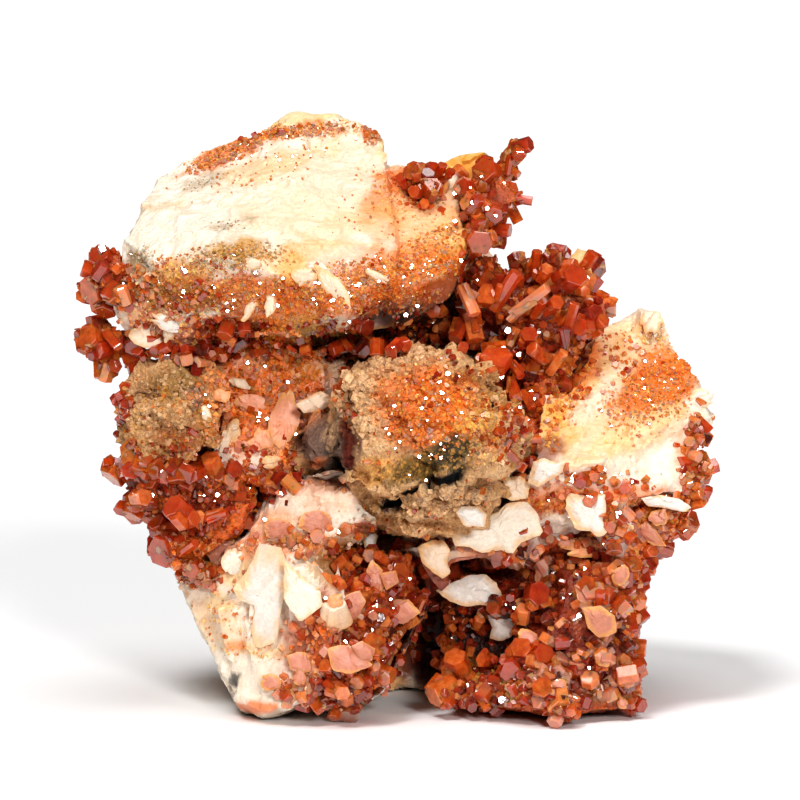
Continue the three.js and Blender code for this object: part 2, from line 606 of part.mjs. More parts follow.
const lowerRight = {
  crust: [
    {
      corners: [
        [446, 560, -5], [520, 552, -8], [600, 548, -11], [640, 505, -12], [694, 512, -8],
        [690, 535, -7], [660, 575, -9], [640, 625, -11], [634, 668, -12], [628, 704, -13],
        [560, 714, -18], [520, 704, -18], [452, 702, -12], [440, 650, -5], [600, 600, -14],
        [560, 660, -16], [450, 570, 6], [690, 520, 8], [640, 620, 10], [630, 724, 6],
        [520, 735, 4], [450, 720, 2],
      ],
      grain: 14.5,
      rough: 1.2,
      seed: 39,
    },
  ],
  crystals: [
    { at: [536, 594, -13], axis: [0.3, -0.9, 0.2], radius: 1.7, length: 2.8, spin: 0.8 },
    { at: [522, 614, -12], axis: [0.1, -0.6, 0.75], radius: 1.2, length: 2.6, spin: 0.3 },
    { at: [524, 650, -14], axis: [-0.3, -0.8, 0.4], radius: 1.7, length: 2.8, spin: 0.5 },
    { at: [541, 655, -15], axis: [0.4, -0.8, 0.3], radius: 1.5, length: 2.6, spin: 0.2 },
    { at: [510, 668, -15], axis: [-0.1, -0.9, -0.2], radius: 1.6, length: 2.6, spin: 0.7 },
    { at: [560, 704, -19], axis: [0.1, -0.7, -0.55], radius: 2.3, length: 2.6, spin: 0.4 },
    { at: [542, 690, -19], axis: [0, -0.85, 0.4], radius: 1.5, length: 3, spin: 0.1 },
    { at: [590, 585, -15], axis: [-0.2, -0.8, 0.5], radius: 1.7, length: 2.8, spin: 0.4 },
    { at: [614, 572, -14], axis: [0.3, -0.8, 0.4], radius: 1.6, length: 2.8, spin: 0.1 },
    { at: [595, 616, -16], axis: [0.1, -0.95, 0.1], radius: 1.7, length: 2.6, spin: 0.6 },
    { at: [618, 604, -14], axis: [0.5, -0.8, 0.1], radius: 1.6, length: 3, spin: 0.2 },
    { at: [628, 568, -12], axis: [0.6, -0.6, 0.4], radius: 1.4, length: 3, spin: 0.5 },
    { at: [602, 657, -16], axis: [-0.1, -0.9, 0.3], radius: 1.4, length: 2.6, spin: 0.3 },
    { at: [622, 672, -14], axis: [0.3, -0.9, 0.2], radius: 1.3, length: 2.6, spin: 0.1 },
    { at: [684, 520, -8], axis: [0.7, -0.6, 0.2], radius: 1.5, length: 3.4, spin: 0.2 },
    { at: [668, 512, -11], axis: [0.2, -0.8, 0.5], radius: 1.4, length: 2.8, spin: 0.6 },
    { at: [458, 664, -10], axis: [-0.3, -0.6, 0.7], radius: 1.7, length: 3.2, spin: 0.2 },
    { at: [444, 692, -12], axis: [-0.7, -0.5, -0.3], radius: 1.9, length: 3.8, spin: 0.3 },
    { at: [486, 660, -11], axis: [-0.2, -0.8, 0.4], radius: 1.2, length: 2.8, spin: 0.5 },
    { at: [634, 704, -11], axis: [0.6, -0.6, -0.1], radius: 1.2, length: 3.2, spin: 0.4 },
  ],
  sprinkled: [
    { count: 12, seed: 46, radius: [0.7, 1.5], stretch: [1.6, 2.8] },
  ],
};
const rightRim = {
  crust: [
    {
      corners: [
        [690, 452, -5], [706, 450, -3], [710, 474, -3], [700, 500, -5], [684, 500, -7],
        [688, 460, 5], [706, 462, 5], [700, 500, 4], [686, 500, 4],
      ],
      grain: 11,
      rough: 0.4,
      seed: 40,
    },
  ],
  crystals: [
    { at: [703, 459, -5], axis: [0.6, -0.7, 0.4], radius: 1.1, length: 2.8, spin: 0.2 },
    { at: [705, 476, -5], axis: [0.7, -0.7, 0], radius: 1.4, length: 3, spin: 0.5 },
    { at: [694, 492, -7], axis: [0.3, -0.8, -0.4], radius: 1.3, length: 2.8, spin: 0.1 },
    { at: [706, 468, 3], axis: [0.9, 0.3, 0.3], radius: 1.3, length: 3.2, spin: 0.3 },
    { at: [700, 490, 3], axis: [0.9, 0.3, -0.2], radius: 1.2, length: 3, spin: 0.6 },
  ],
  sprinkled: [],
};
// On the back the crystals sit in two shallow hollows of the broken barite.
const backUpper = {
  crust: [
    {
      corners: [
        [240, 240, 22], [320, 195, 22], [400, 235, 24], [405, 310, 28], [330, 345, 30],
        [250, 315, 27], [320, 265, 29], [270, 250, 14], [390, 260, 14], [330, 330, 16],
      ],
      grain: 13,
      rough: 0.6,
      seed: 51,
    },
  ],
  crystals: [],
  sprinkled: [{ count: 8, seed: 61, radius: [0.8, 2], stretch: [1.4, 2.8], side: "back" }],
};
const backLower = {
  crust: [
    {
      corners: [
        [470, 440, 28], [560, 405, 29], [630, 460, 25], [612, 565, 24], [520, 590, 27],
        [455, 520, 28], [545, 490, 31], [480, 460, 16], [600, 460, 16], [560, 570, 16],
      ],
      grain: 13,
      rough: 0.6,
      seed: 52,
    },
  ],
  crystals: [],
  sprinkled: [{ count: 8, seed: 62, radius: [0.8, 2], stretch: [1.4, 2.8], side: "back" }],
};

const VANADINITE = { color: 0xa8321a, roughness: 0.25, metalness: 0 };
const IRONSTONE = { color: 0x9c7440, roughness: 0.9, metalness: 0 };
const BARITE = { color: 0xf3e3cf, roughness: 0.6, metalness: 0 };
const clusters = {
  vanadinite_top_spray: topSpray,
  vanadinite_slab_group: slabCrystals,
  vanadinite_saddle_cluster: saddle,
  vanadinite_left_rim: leftRim,
  vanadinite_left_tip: leftTip,
  vanadinite_left_cluster: leftMiddle,
  vanadinite_right_rim: rightRim,
  vanadinite_lower_right_mass: lowerRight,
  vanadinite_lower_centre: lowerCentre,
  vanadinite_pocket_crust: pocketCrust,
  vanadinite_back_upper: backUpper,
  vanadinite_back_lower: backLower,
};
const stones = {
  ironstone_boulder: { look: IRONSTONE, lumps: boulder, blades: [] },
  ironstone_left_lump: { look: IRONSTONE, lumps: leftLump, blades: [] },
  ironstone_pocket_chip: { look: IRONSTONE, lumps: pocketChip, blades: [] },
  barite_matrix: { look: BARITE, lumps: bariteLumps, blades: bariteBlades },
};

function solids(make, items, grown = 0) {
  return items.map((item) => solidOf(make(item, grown)));
}

function stoneSolid({ lumps, blades }, grown = 0) {
  return join([...solids(lump, lumps, grown), ...solids(blade, blades, grown)]);
}

// The room that a crust or stone takes up: itself, and itself grown by the gap.
function roomOf(make, items) {
  return join([...solids(make, items), ...solids(make, items, GAP)]);
}

function crystalsOf({ crust, crystals, sprinkled }) {
  return [...crystals, ...sprinkled.flatMap((how) => sprinkle(crust[0], how))];
}

function largestBody(solid) {
  return solid.decompose().reduce((best, next) => (next.volume() > best.volume() ? next : best));
}

// Everything under the ground plane is cut off, so the specimen rests on flat feet.
const ground = solidOf(new THREE.BoxGeometry(200, 200, 40).translate(0, 0, -20));
const specimen = new THREE.Group();
specimen.name = "vanadinite_on_matrix";

function addPiece(name, solid, look) {
  const mesh = new THREE.Mesh(geometryOf(solid), new THREE.MeshStandardMaterial(look));
  mesh.name = name;
  specimen.add(mesh);
}

// Each stone is cut to leave room for the crusts that grow on it and for the stones before it.
let taken = ground;
for (const { crust } of Object.values(clusters)) {
  taken = taken.add(roomOf(lump, crust));
}
let allStone = ground;
for (const [name, stone] of Object.entries(stones)) {
  addPiece(name, largestBody(stoneSolid(stone).subtract(taken)), stone.look);
  const grown = stoneSolid(stone, GAP);
  taken = taken.add(grown);
  allStone = allStone.add(grown);
}

// A cluster's crystals end on the stone, and stop short of the clusters before it.
let room = ground;
for (const [name, cluster] of Object.entries(clusters)) {
  const crust = join(solids(lump, cluster.crust));
  const grownCrust = roomOf(lump, cluster.crust);
  const stoneAround = allStone.subtract(grownCrust);
  const standing = join(solids(crystal, crystalsOf(cluster))).subtract(stoneAround);
  addPiece(name, largestBody(crust.add(standing).subtract(room)), VANADINITE);
  room = join([room, grownCrust, ...solids(crystal, crystalsOf(cluster), GAP)]);
}

// The origin is under the middle of the specimen, on the ground.
const box = new THREE.Box3().setFromObject(specimen);
const middle = box.getCenter(new THREE.Vector3());
for (const mesh of specimen.children) {
  mesh.position.set(-middle.x, -middle.y, -box.min.z);
}

export default specimen;
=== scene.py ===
"""Vanadinite on matrix: the fine surface, the crystals, the materials, the light and the camera."""
import math
from collections import namedtuple

import bpy
import numpy as np
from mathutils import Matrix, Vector
from mathutils.bvhtree import BVHTree


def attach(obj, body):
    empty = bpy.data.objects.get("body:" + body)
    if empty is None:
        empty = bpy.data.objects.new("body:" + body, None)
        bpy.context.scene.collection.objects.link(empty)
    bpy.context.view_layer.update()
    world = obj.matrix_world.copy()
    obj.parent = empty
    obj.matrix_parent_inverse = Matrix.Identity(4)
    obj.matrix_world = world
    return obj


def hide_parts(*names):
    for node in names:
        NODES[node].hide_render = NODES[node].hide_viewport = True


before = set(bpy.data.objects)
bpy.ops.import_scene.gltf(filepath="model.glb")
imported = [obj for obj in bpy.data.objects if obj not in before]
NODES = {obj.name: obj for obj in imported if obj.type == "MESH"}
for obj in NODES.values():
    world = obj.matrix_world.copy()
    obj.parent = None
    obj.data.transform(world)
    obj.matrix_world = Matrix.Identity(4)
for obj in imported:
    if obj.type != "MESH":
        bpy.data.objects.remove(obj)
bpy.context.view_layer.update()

MM = 0.001

# Places are [column, row, depth]: a spot of the photograph's 800 x 800 frame, which shows 8 of its
# units to the millimetre, and the distance behind the middle plane in millimetres.
FRAME_SIZE = 800
UNITS_PER_MM = 8.0
VIEW_TILT = math.radians(6)
CAMERA_DISTANCE = 0.70
FOOT_ROW = 718
FOOT_DEPTH = -15
# How far the specimen was moved to stand over the origin, in millimetres.
SHIFT_X = 0.58
SHIFT_Y = -2.98

RED = "vanadinite"
STONE = "ironstone"
SPAR = "barite"


def middle_height():
    """The height that the middle row of the photograph shows at the middle plane."""
    up = (FOOT_ROW - FRAME_SIZE / 2) / UNITS_PER_MM
    return (up + FOOT_DEPTH * math.sin(VIEW_TILT)) / math.cos(VIEW_TILT)


AIM = np.array([SHIFT_X, SHIFT_Y, middle_height()]) * MM
FORWARD = np.array([0.0, math.cos(VIEW_TILT), -math.sin(VIEW_TILT)])
RIGHT = np.array([1.0, 0.0, 0.0])
UP = np.cross(RIGHT, FORWARD)
EYE = AIM - CAMERA_DISTANCE * FORWARD
FOCAL_UNITS = UNITS_PER_MM / MM * CAMERA_DISTANCE


def ray(column, row):
    """The direction from the camera through a spot of the photograph."""
    half = FRAME_SIZE / 2
    return FORWARD + (column - half) / FOCAL_UNITS * RIGHT - (row - half) / FOCAL_UNITS * UP


def spot(column, row, depth):
    """The point at that spot of the photograph, at that depth."""
    direction = ray(column, row)
    reach = ((depth + SHIFT_Y) * MM - EYE[1]) / direction[1]
    return EYE + reach * direction


def seen_at(points):
    """Columns and rows of points, as the camera sees them."""
    away = points - EYE
    deep = away @ FORWARD
    half = FRAME_SIZE / 2
    return half + FOCAL_UNITS * (away @ RIGHT) / deep, half - FOCAL_UNITS * (away @ UP) / deep


# Noise in numpy, the same on every run.

AXIS_PRIMES = np.array([73856093, 19349663, 83492791])
SEED_PRIME = 668265263
HASH_ROUNDS = ((33, 0xFF51AFD7ED558CCD), (29, 0xC4CEB9FE1A85EC53))
LAST_SHIFT = 32
HASH_MASK = 0xFFFFFF


def hashed(grid, seed):
    """A repeatable number from 0 to 1 for each row of whole numbers."""
    mixed = grid.astype(np.int64) @ AXIS_PRIMES + seed * SEED_PRIME
    mixed = mixed.astype(np.uint64)
    for shift, factor in HASH_ROUNDS:
        mixed ^= mixed >> np.uint64(shift)
        mixed *= np.uint64(factor)
    mixed ^= mixed >> np.uint64(LAST_SHIFT)
    return (mixed & np.uint64(HASH_MASK)).astype(float) / HASH_MASK


CORNERS = np.array([[x, y, z] for x in (0, 1) for y in (0, 1) for z in (0, 1)])
NEIGHBOURS = np.array([[x, y, z] for x in (-1, 0, 1) for y in (-1, 0, 1) for z in (-1, 0, 1)])


def smooth_noise(points, size, seed):
    """Smooth noise from -1 to 1, with features of that size in millimetres."""
    scaled = points / (size * MM)
    base = np.floor(scaled)
    part = scaled - base
    part = part * part * (3 - 2 * part)
    total = np.zeros(len(points))
    for corner in CORNERS:
        weight = np.prod(np.where(corner, part, 1 - part), axis=1)
        total += weight * hashed(base + corner, seed)
    return 2 * total - 1


OCTAVE_SUM = 1.6


def rough_noise(points, size, seed, octaves=3):
    """Smooth noise with finer noise on it, from about -1 to 1."""
    total = np.zeros(len(points))
    for octave in range(octaves):
        total += smooth_noise(points, size / 2 ** octave, seed + octave) / 2 ** octave
    return total / OCTAVE_SUM


FAR_OFF = 9.0
# How much higher than the seed of the grains' places the seed of their own numbers is.
OWN_SEED = 7


def grains(points, size, seed):
    """The nearest of many scattered grains: its distance, a number of its own and the way to it."""
    scaled = points / (size * MM)
    base = np.floor(scaled)
    nearest = np.full(len(points), FAR_OFF)
    own = np.zeros(len(points))
    toward = np.zeros((len(points), 3))
    for step in NEIGHBOURS:
        cell = base + step
        centre = cell + np.stack([hashed(cell, seed + k) for k in range(3)], axis=1)
        way = centre - scaled
        distance = np.linalg.norm(way, axis=1)
        closer = distance < nearest
        nearest[closer] = distance[closer]
        toward[closer] = way[closer]
        own[closer] = hashed(cell[closer], seed + OWN_SEED)
    return nearest, own, toward


FACET_TURNS = 7
FACET_TILT = 1.7


def facets(points, size, seed):
    """Flat broken faces: each grain has a plane of its own tilt. From about -1 to 1."""
    _, own, toward = grains(points, size, seed)
    turn = own * 2 * math.pi * FACET_TURNS
    lean = np.stack([np.cos(turn), np.sin(turn), np.cos(turn * FACET_TILT)], axis=1)
    return np.einsum("ij,ij->i", toward, lean) + (own - 0.5)


def swells(points, height, *kind):
    """Rounded rises and dips of that height: after it come their size, their seed and their octaves."""
    return height * rough_noise(points, *kind)


def broken(points, height, *kind):
    """Flat broken faces of that height: after it come their size and their seed."""
    return height * facets(points, *kind)


def smoothstep(low, high, value):
    """A share that rises smoothly from 0 to 1 between the low and the high value."""
    share = np.clip((value - low) / (high - low), 0, 1)
    return share * share * (3 - 2 * share)


# How far out an ellipse is whole, and where it ends, in its own half widths.
ELLIPSE_WHOLE = 0.55
ELLIPSE_END = 1.3


def ellipse_mask(column, row, wander, middle_column, middle_row, half_width, half_height, turn):
    """How far spots lie in a soft, ragged-edged ellipse drawn on the photograph, from 0 to 1."""
    angle = math.radians(turn)
    across = (column - middle_column) * math.cos(angle) + (row - middle_row) * math.sin(angle)
    along = (row - middle_row) * math.cos(angle) - (column - middle_column) * math.sin(angle)
    reach = np.hypot(across / half_width, along / half_height)
    return 1 - smoothstep(ELLIPSE_WHOLE, ELLIPSE_END, reach + wander / min(half_width, half_height))


# The colours of the specimen's materials. The darkest reds and the black are also laid as painted
# shade in some pockets, hollows and cracks, as marked in the tables below.
MILK = (0.86, 0.74, 0.60)
CREAM = (0.86, 0.65, 0.47)
LEMON = (0.88, 0.60, 0.28)
HONEY = (0.88, 0.42, 0.08)
PEACH = (0.88, 0.38, 0.17)
ORANGE = (0.82, 0.18, 0.010)
RUST = (0.42, 0.075, 0.008)
EMBER = (0.17, 0.016, 0.003)
# Near black, no colour of the stone: painted shade for gaps, pockets and hollows.
SHADE_BLACK = (0.018, 0.005, 0.003)
GOLD = (0.58, 0.28, 0.05)
OLIVE = (0.26, 0.15, 0.03)
KHAKI = (0.62, 0.33, 0.13)
TAN = (0.82, 0.52, 0.28)
SLATE = (0.045, 0.042, 0.028)
PITCH = (0.006, 0.008, 0.008)
MAUVE = (0.27, 0.15, 0.115)
CHALK = (0.78, 0.70, 0.62)
BLUSH = (0.60, 0.23, 0.14)
SALMON = (0.92, 0.40, 0.23)
CORAL = (0.98, 0.23, 0.035)
UMBER = (0.17, 0.10, 0.075)
AMBER = (0.85, 0.42, 0.07)

# Colour laid over each kind of surface in turn: column, row, half width, half height, turn, colour
# and strength. Some dark patches are painted shade, as marked.
SPAR_PAINT = [
    (330, 185, 90, 60, -20, LEMON, 0.22), (430, 240, 60, 60, -30, PEACH, 0.5),
    (300, 255, 90, 14, -4, HONEY, 0.6), (340, 190, 90, 55, -15, CREAM, 0.45),
    (300, 215, 80, 18, -8, LEMON, 0.18), (290, 121, 72, 8, -15, LEMON, 0.75),
    (345, 118, 24, 8, 10, LEMON, 0.7), (232, 150, 48, 9, -24, ORANGE, 0.85),
    (300, 132, 40, 8, -10, ORANGE, 0.6), (340, 130, 26, 7, 5, ORANGE, 0.45),
    (370, 134, 16, 10, 35, ORANGE, 0.8), (275, 165, 60, 12, -20, HONEY, 0.4),
    (383, 150, 8, 20, 20, LEMON, 0.8), (203, 182, 20, 8, -20, OLIVE, 0.35),
    (176, 205, 18, 4, -8, GOLD, 0.3), (222, 226, 18, 5, -10, OLIVE, 0.45),
    (135, 208, 12, 8, 0, GOLD, 0.4), (395, 205, 26, 50, 40, PEACH, 0.6),
    (385, 190, 16, 34, 35, ORANGE, 0.55), (412, 180, 30, 16, 0, ORANGE, 0.75),
    (446, 206, 34, 26, -20, CREAM, 0.6), (455, 252, 26, 34, 20, AMBER, 0.8),
    (440, 228, 40, 16, -30, PEACH, 0.5), (425, 215, 44, 36, -20, HONEY, 0.35),
    (350, 225, 50, 14, -14, HONEY, 0.25), (385, 262, 70, 16, -10, ORANGE, 0.8),
    (335, 262, 40, 14, -10, MILK, 0.55), (458, 258, 18, 14, -35, GOLD, 0.8),
    (420, 270, 60, 12, -20, ORANGE, 0.9), (330, 300, 110, 20, -6, ORANGE, 0.95),
    (185, 272, 50, 10, -4, HONEY, 0.75), (138, 262, 12, 14, 20, OLIVE, 0.7),
    (438, 296, 38, 14, -35, RUST, 0.85), (235, 252, 44, 14, -4, GOLD, 0.9),
    (242, 262, 26, 8, -4, OLIVE, 0.75), (170, 292, 46, 14, 6, GOLD, 0.85),
    (150, 300, 22, 10, 30, OLIVE, 0.8), (255, 290, 70, 18, 0, ORANGE, 0.9),
    (290, 268, 24, 12, -6, HONEY, 0.7), (200, 300, 60, 12, 4, RUST, 0.8),
    (150, 318, 34, 12, 12, PEACH, 0.7), (165, 322, 16, 8, 12, MILK, 0.85),
    # The dark red patch at 228, 332 is painted shade in the pocket under the slab.
    (190, 335, 60, 12, 0, RUST, 0.8), (228, 332, 26, 14, 0, EMBER, 0.95),
    (300, 330, 46, 16, 0, GOLD, 0.8), (312, 342, 26, 12, 0, OLIVE, 0.8),
    (268, 345, 30, 24, 0, ORANGE, 0.95), (385, 318, 34, 14, -10, MAUVE, 0.6),
    # The near-black patches at 420, 330 and 365, 345 are painted shade in the gap under the slab.
    (420, 330, 60, 22, 0, SHADE_BLACK, 0.95), (365, 345, 50, 12, 0, SHADE_BLACK, 0.9),
    (270, 400, 72, 58, 0, CORAL, 1.0), (240, 425, 22, 10, 20, ORANGE, 0.6),
    (282, 425, 20, 30, 0, SALMON, 0.8), (318, 405, 26, 14, -10, MILK, 0.9),
    (300, 368, 40, 10, 0, GOLD, 0.7), (225, 435, 16, 16, 0, SALMON, 0.5),
    # The dark red patches at 345, 440, 298, 446 and 322, 480 are painted shade in the cracks round the
    # chip.
    (225, 370, 30, 14, 0, ORANGE, 0.8), (345, 440, 26, 40, 0, EMBER, 0.9),
    (298, 446, 11, 32, 0, EMBER, 0.95), (322, 480, 34, 9, 6, EMBER, 0.95),
    (640, 330, 60, 40, 40, CREAM, 0.6), (600, 360, 50, 28, -50, HONEY, 0.5),
    (625, 395, 90, 50, -38, HONEY, 0.5), (655, 388, 56, 34, -38, ORANGE, 0.95),
    (668, 372, 34, 24, 40, ORANGE, 0.85), (570, 385, 22, 50, 24, ORANGE, 0.85),
    (556, 430, 26, 40, 24, HONEY, 0.8), (602, 392, 12, 44, 42, MILK, 0.6),
    (640, 428, 56, 12, -28, LEMON, 0.7), (668, 432, 40, 10, -30, GOLD, 0.45),
    (600, 452, 60, 10, -14, LEMON, 0.5), (655, 455, 46, 10, -20, MILK, 0.5),
    (702, 420, 12, 30, 0, MILK, 0.7), (690, 460, 16, 30, 0, ORANGE, 0.7),
    (548, 452, 20, 16, 0, EMBER, 0.8), (300, 500, 70, 40, 0, MILK, 0.3),
    (330, 490, 60, 26, 0, PEACH, 0.4), (262, 478, 34, 22, -20, CREAM, 0.5),
    (300, 455, 60, 12, -25, ORANGE, 0.85), (365, 470, 30, 14, 40, ORANGE, 0.55),
    (250, 520, 60, 14, 0, PEACH, 0.7), (300, 545, 64, 12, 0, ORANGE, 0.7),
    (225, 560, 44, 22, 0, PEACH, 0.5), (345, 560, 34, 26, 0, GOLD, 0.9),
    # The dark patches at 350, 562 and 372, 530 are painted shade in the hollow and under the boulder's
    # ledge.
    (350, 562, 22, 18, 0, EMBER, 0.8), (372, 530, 30, 14, 0, RUST, 0.95),
    (240, 575, 26, 12, 0, LEMON, 0.7), (215, 620, 28, 24, 20, HONEY, 0.35),
    (222, 600, 14, 10, 0, LEMON, 0.6), (255, 650, 50, 8, 6, LEMON, 0.6),
    (235, 648, 10, 6, 0, ORANGE, 0.6), (330, 650, 50, 60, 0, RUST, 0.85),
    (255, 708, 20, 6, 0, ORANGE, 0.8), (183, 615, 5, 14, 0, GOLD, 0.7),
    (234, 680, 2.5, 3, 0, PITCH, 0.8), (230, 696, 2, 5, 30, PITCH, 0.7),
    (186, 624, 2, 4, 0, PITCH, 0.7), (480, 500, 40, 20, 0, GOLD, 0.6),
    (560, 500, 60, 16, 0, ORANGE, 0.6), (620, 505, 90, 16, 0, ORANGE, 0.8),
    # The dark patches at 430, 630 and 480, 650 are painted shade in the cavity of the lower right.
    (470, 600, 90, 70, 0, RUST, 0.9), (430, 630, 60, 60, 0, EMBER, 0.95),
    (480, 650, 60, 50, 0, SHADE_BLACK, 0.9), (585, 610, 100, 100, 0, EMBER, 0.8),
]
ROCK_PAINT = [
    (268, 400, 62, 54, 0, CORAL, 0.9), (272, 410, 24, 30, 0, SALMON, 0.7),
    (300, 368, 40, 10, 0, GOLD, 0.7), (425, 440, 90, 90, 0, TAN, 0.4),
    (352, 400, 22, 60, -10, TAN, 0.9), (398, 360, 40, 20, -20, TAN, 0.8),
    (470, 385, 40, 24, 45, KHAKI, 0.9), (425, 405, 56, 42, 10, ORANGE, 0.95),
    (415, 430, 20, 20, 0, RUST, 0.4), (482, 425, 22, 20, 0, HONEY, 0.8),
    (500, 440, 16, 16, 0, ORANGE, 0.5), (395, 395, 22, 26, 0, PEACH, 0.4),
    (435, 462, 46, 14, -20, OLIVE, 0.95), (452, 452, 26, 14, -30, SLATE, 0.85),
    (402, 478, 30, 12, 0, OLIVE, 0.6), (372, 470, 26, 16, 0, HONEY, 0.6),
    (430, 506, 60, 14, -8, TAN, 0.6), (390, 510, 20, 12, 0, GOLD, 0.6), (500, 470, 22, 16, 0, TAN, 0.6),
    # The black patches at 412, 494 and 446, 479 are painted shade in the boulder's cracks.
    (412, 494, 26, 6, -26, PITCH, 1.0), (446, 479, 20, 5, -22, PITCH, 1.0),
    (165, 418, 60, 60, 0, KHAKI, 0.7), (175, 385, 30, 20, 0, OLIVE, 0.55),
    (150, 412, 30, 10, 0, TAN, 0.7), (197, 393, 8, 12, 10, MAUVE, 0.9),
    (142, 392, 14, 10, 0, MAUVE, 0.5), (185, 440, 34, 16, 20, RUST, 0.6),
    (162, 377, 4, 4, 0, PITCH, 1.0), (215, 425, 14, 26, 0, GOLD, 0.5),
    (327, 448, 34, 38, 0, UMBER, 0.95), (335, 430, 10, 8, 0, TAN, 0.6),
    (318, 462, 8, 6, 0, ORANGE, 0.5), (338, 460, 16, 14, 0, SLATE, 0.5),
    # The dark red patches at 349, 432 and 322, 480 are painted shade in the cracks round the chip.
    (349, 432, 8, 38, 0, EMBER, 0.9), (322, 480, 30, 6, 6, EMBER, 0.9),
]
# On the crust, the near-black patches are painted shade in the gaps, pockets and hollows among the
# crystals. The dark red patches at 400, 650 and 510, 580 are painted shade in hollows. The one at 530, 320
# is the crust's own dark red, deepened as painted shade between the crystals.
CRUST_PAINT = [
    (470, 320, 44, 50, 0, SHADE_BLACK, 0.6), (480, 350, 48, 40, 20, SHADE_BLACK, 1.0),
    (512, 395, 20, 40, 20, SHADE_BLACK, 0.9), (560, 380, 30, 50, 20, ORANGE, 0.7),
    (575, 330, 30, 30, 0, ORANGE, 0.5), (500, 300, 30, 20, 0, ORANGE, 0.35),
    (230, 330, 26, 20, 0, SHADE_BLACK, 0.8), (420, 335, 80, 24, 0, SHADE_BLACK, 0.9),
    (330, 345, 50, 16, 0, OLIVE, 0.7), (268, 345, 32, 24, 0, ORANGE, 0.95),
    (305, 352, 26, 8, 0, GOLD, 0.8), (495, 235, 20, 14, 0, SHADE_BLACK, 0.6),
    (200, 470, 70, 40, 0, RUST, 0.5), (190, 500, 60, 30, 0, ORANGE, 0.4),
    (185, 550, 50, 26, 0, ORANGE, 0.6), (350, 560, 40, 26, 0, GOLD, 0.7),
    (390, 600, 60, 46, 0, RUST, 0.6), (350, 650, 60, 40, 0, RUST, 0.7),
    (400, 650, 40, 50, 0, EMBER, 0.9), (345, 696, 50, 14, 0, EMBER, 0.8),
    (580, 600, 90, 80, 0, EMBER, 0.9), (600, 606, 34, 34, 0, RUST, 0.6),
    (440, 640, 60, 50, 0, SHADE_BLACK, 0.95), (480, 640, 60, 44, 0, SHADE_BLACK, 0.95),
    (510, 580, 50, 20, 0, EMBER, 0.9), (530, 320, 80, 70, 0, EMBER, 0.8),
    (185, 490, 60, 36, 15, EMBER, 0.8), (650, 570, 20, 60, 0, ORANGE, 0.5),
    (600, 548, 40, 12, 0, PEACH, 0.5), (640, 640, 16, 60, 0, ORANGE, 0.6),
    (268, 400, 62, 50, 0, CORAL, 0.9), (272, 410, 24, 30, 0, SALMON, 0.6),
    (470, 670, 16, 12, 0, GOLD, 0.9), (500, 690, 26, 14, 0, GOLD, 0.9),
    (530, 706, 24, 12, 0, RUST, 0.7), (600, 690, 50, 20, 0, EMBER, 0.7),
    (600, 700, 60, 6, 0, OLIVE, 0.5), (650, 510, 50, 14, 0, GOLD, 0.5),
    (560, 510, 60, 14, 0, HONEY, 0.5),
]
# Hollows: column, row, half width, half height, turn, and how far the surface is pushed away from the
# camera in millimetres. Where that is less than nothing, the surface stands out.
HOLLOWS = [
    (268, 408, 50, 48, 0, -4.0), (165, 352, 46, 9, 0, -4.0), (225, 352, 36, 9, 0, -3.0),
    (272, 356, 26, 20, 0, -7.0), (310, 362, 20, 12, 0, -4.0), (360, 346, 50, 7, 0, -2.0),
    (235, 462, 60, 10, 0, -2.0), (300, 446, 7, 28, 0, 3.5), (349, 432, 8, 36, 0, 3.5),
    (322, 479, 28, 7, 6, 4.0), (325, 442, 16, 20, 0, -1.5), (238, 328, 40, 14, 0, 3.5),
    (330, 345, 40, 12, 0, 2.5), (420, 335, 60, 14, 0, 3.0), (482, 330, 22, 28, 20, 4.0),
    (510, 385, 16, 30, 20, 4.0), (345, 560, 30, 24, 0, 4.0), (374, 532, 22, 9, 0, 3.0),
    (475, 645, 52, 34, 0, 6.0), (430, 640, 34, 40, 0, 5.0), (505, 575, 48, 16, 0, 4.0),
    (540, 600, 20, 30, 20, 3.0), (600, 606, 32, 34, 0, -1.8), (575, 560, 30, 9, 0, 3.0),
    (560, 655, 36, 9, 20, 2.5), (345, 440, 14, 26, 0, 2.5), (215, 345, 26, 12, 0, 2.0),
    (545, 610, 14, 12, 0, 2.0), (610, 635, 16, 12, 0, 2.0), (575, 690, 14, 10, 0, 1.5),
    (640, 590, 10, 18, 0, 1.5),
]
# Shifts: column, row, half width, half height, turn, and how far the surface is moved to the right and
# upward in millimetres.
SHIFTS = [
    (320, 122, 60, 22, 0, 0.0, 0.9), (150, 190, 30, 44, 30, 0.7, -0.3),
    (682, 640, 44, 90, 0, -3.0, 0.0), (155, 374, 26, 14, 0, 0.0, 1.6), (268, 370, 34, 18, 0, 0.0, 2.6),
    (222, 374, 18, 16, 0, 0.0, 1.0), (190, 334, 22, 14, 0, 0.0, -1.0), (322, 372, 22, 16, 0, 0.0, 1.6),
    (700, 570, 40, 50, 0, -1.6, 0.0), (715, 460, 24, 60, 0, -0.8, 0.0),
    (500, 300, 30, 40, 0, -0.5, -1.6), (140, 545, 34, 40, 0, 0.9, 0.0), (110, 420, 24, 60, 0, 0.6, 0.0),
]
# Cracks with a sharp edge: column, row, half width, half height, turn and depth in millimetres.
CRACKS = [
    (408, 497, 27, 6, -24, 2.6), (440, 482, 22, 4.5, -20, 2.4), (362, 477, 9, 7, 50, 1.6),
    (497, 508, 12, 4, -60, 1.4), (432, 524, 40, 3.5, 8, 1.2),
]


# The stained hollows of the sides and back: depth in millimetres, and their noise.
VUG_DEPTH = 2.4
VUG_NOISE = (13, 71, 2)
VUG_EDGE = (0.06, 0.42)
# How far back a face looks where the hidden side begins and where it is whole.
HIDDEN_SIDE = (-0.05, 0.35)


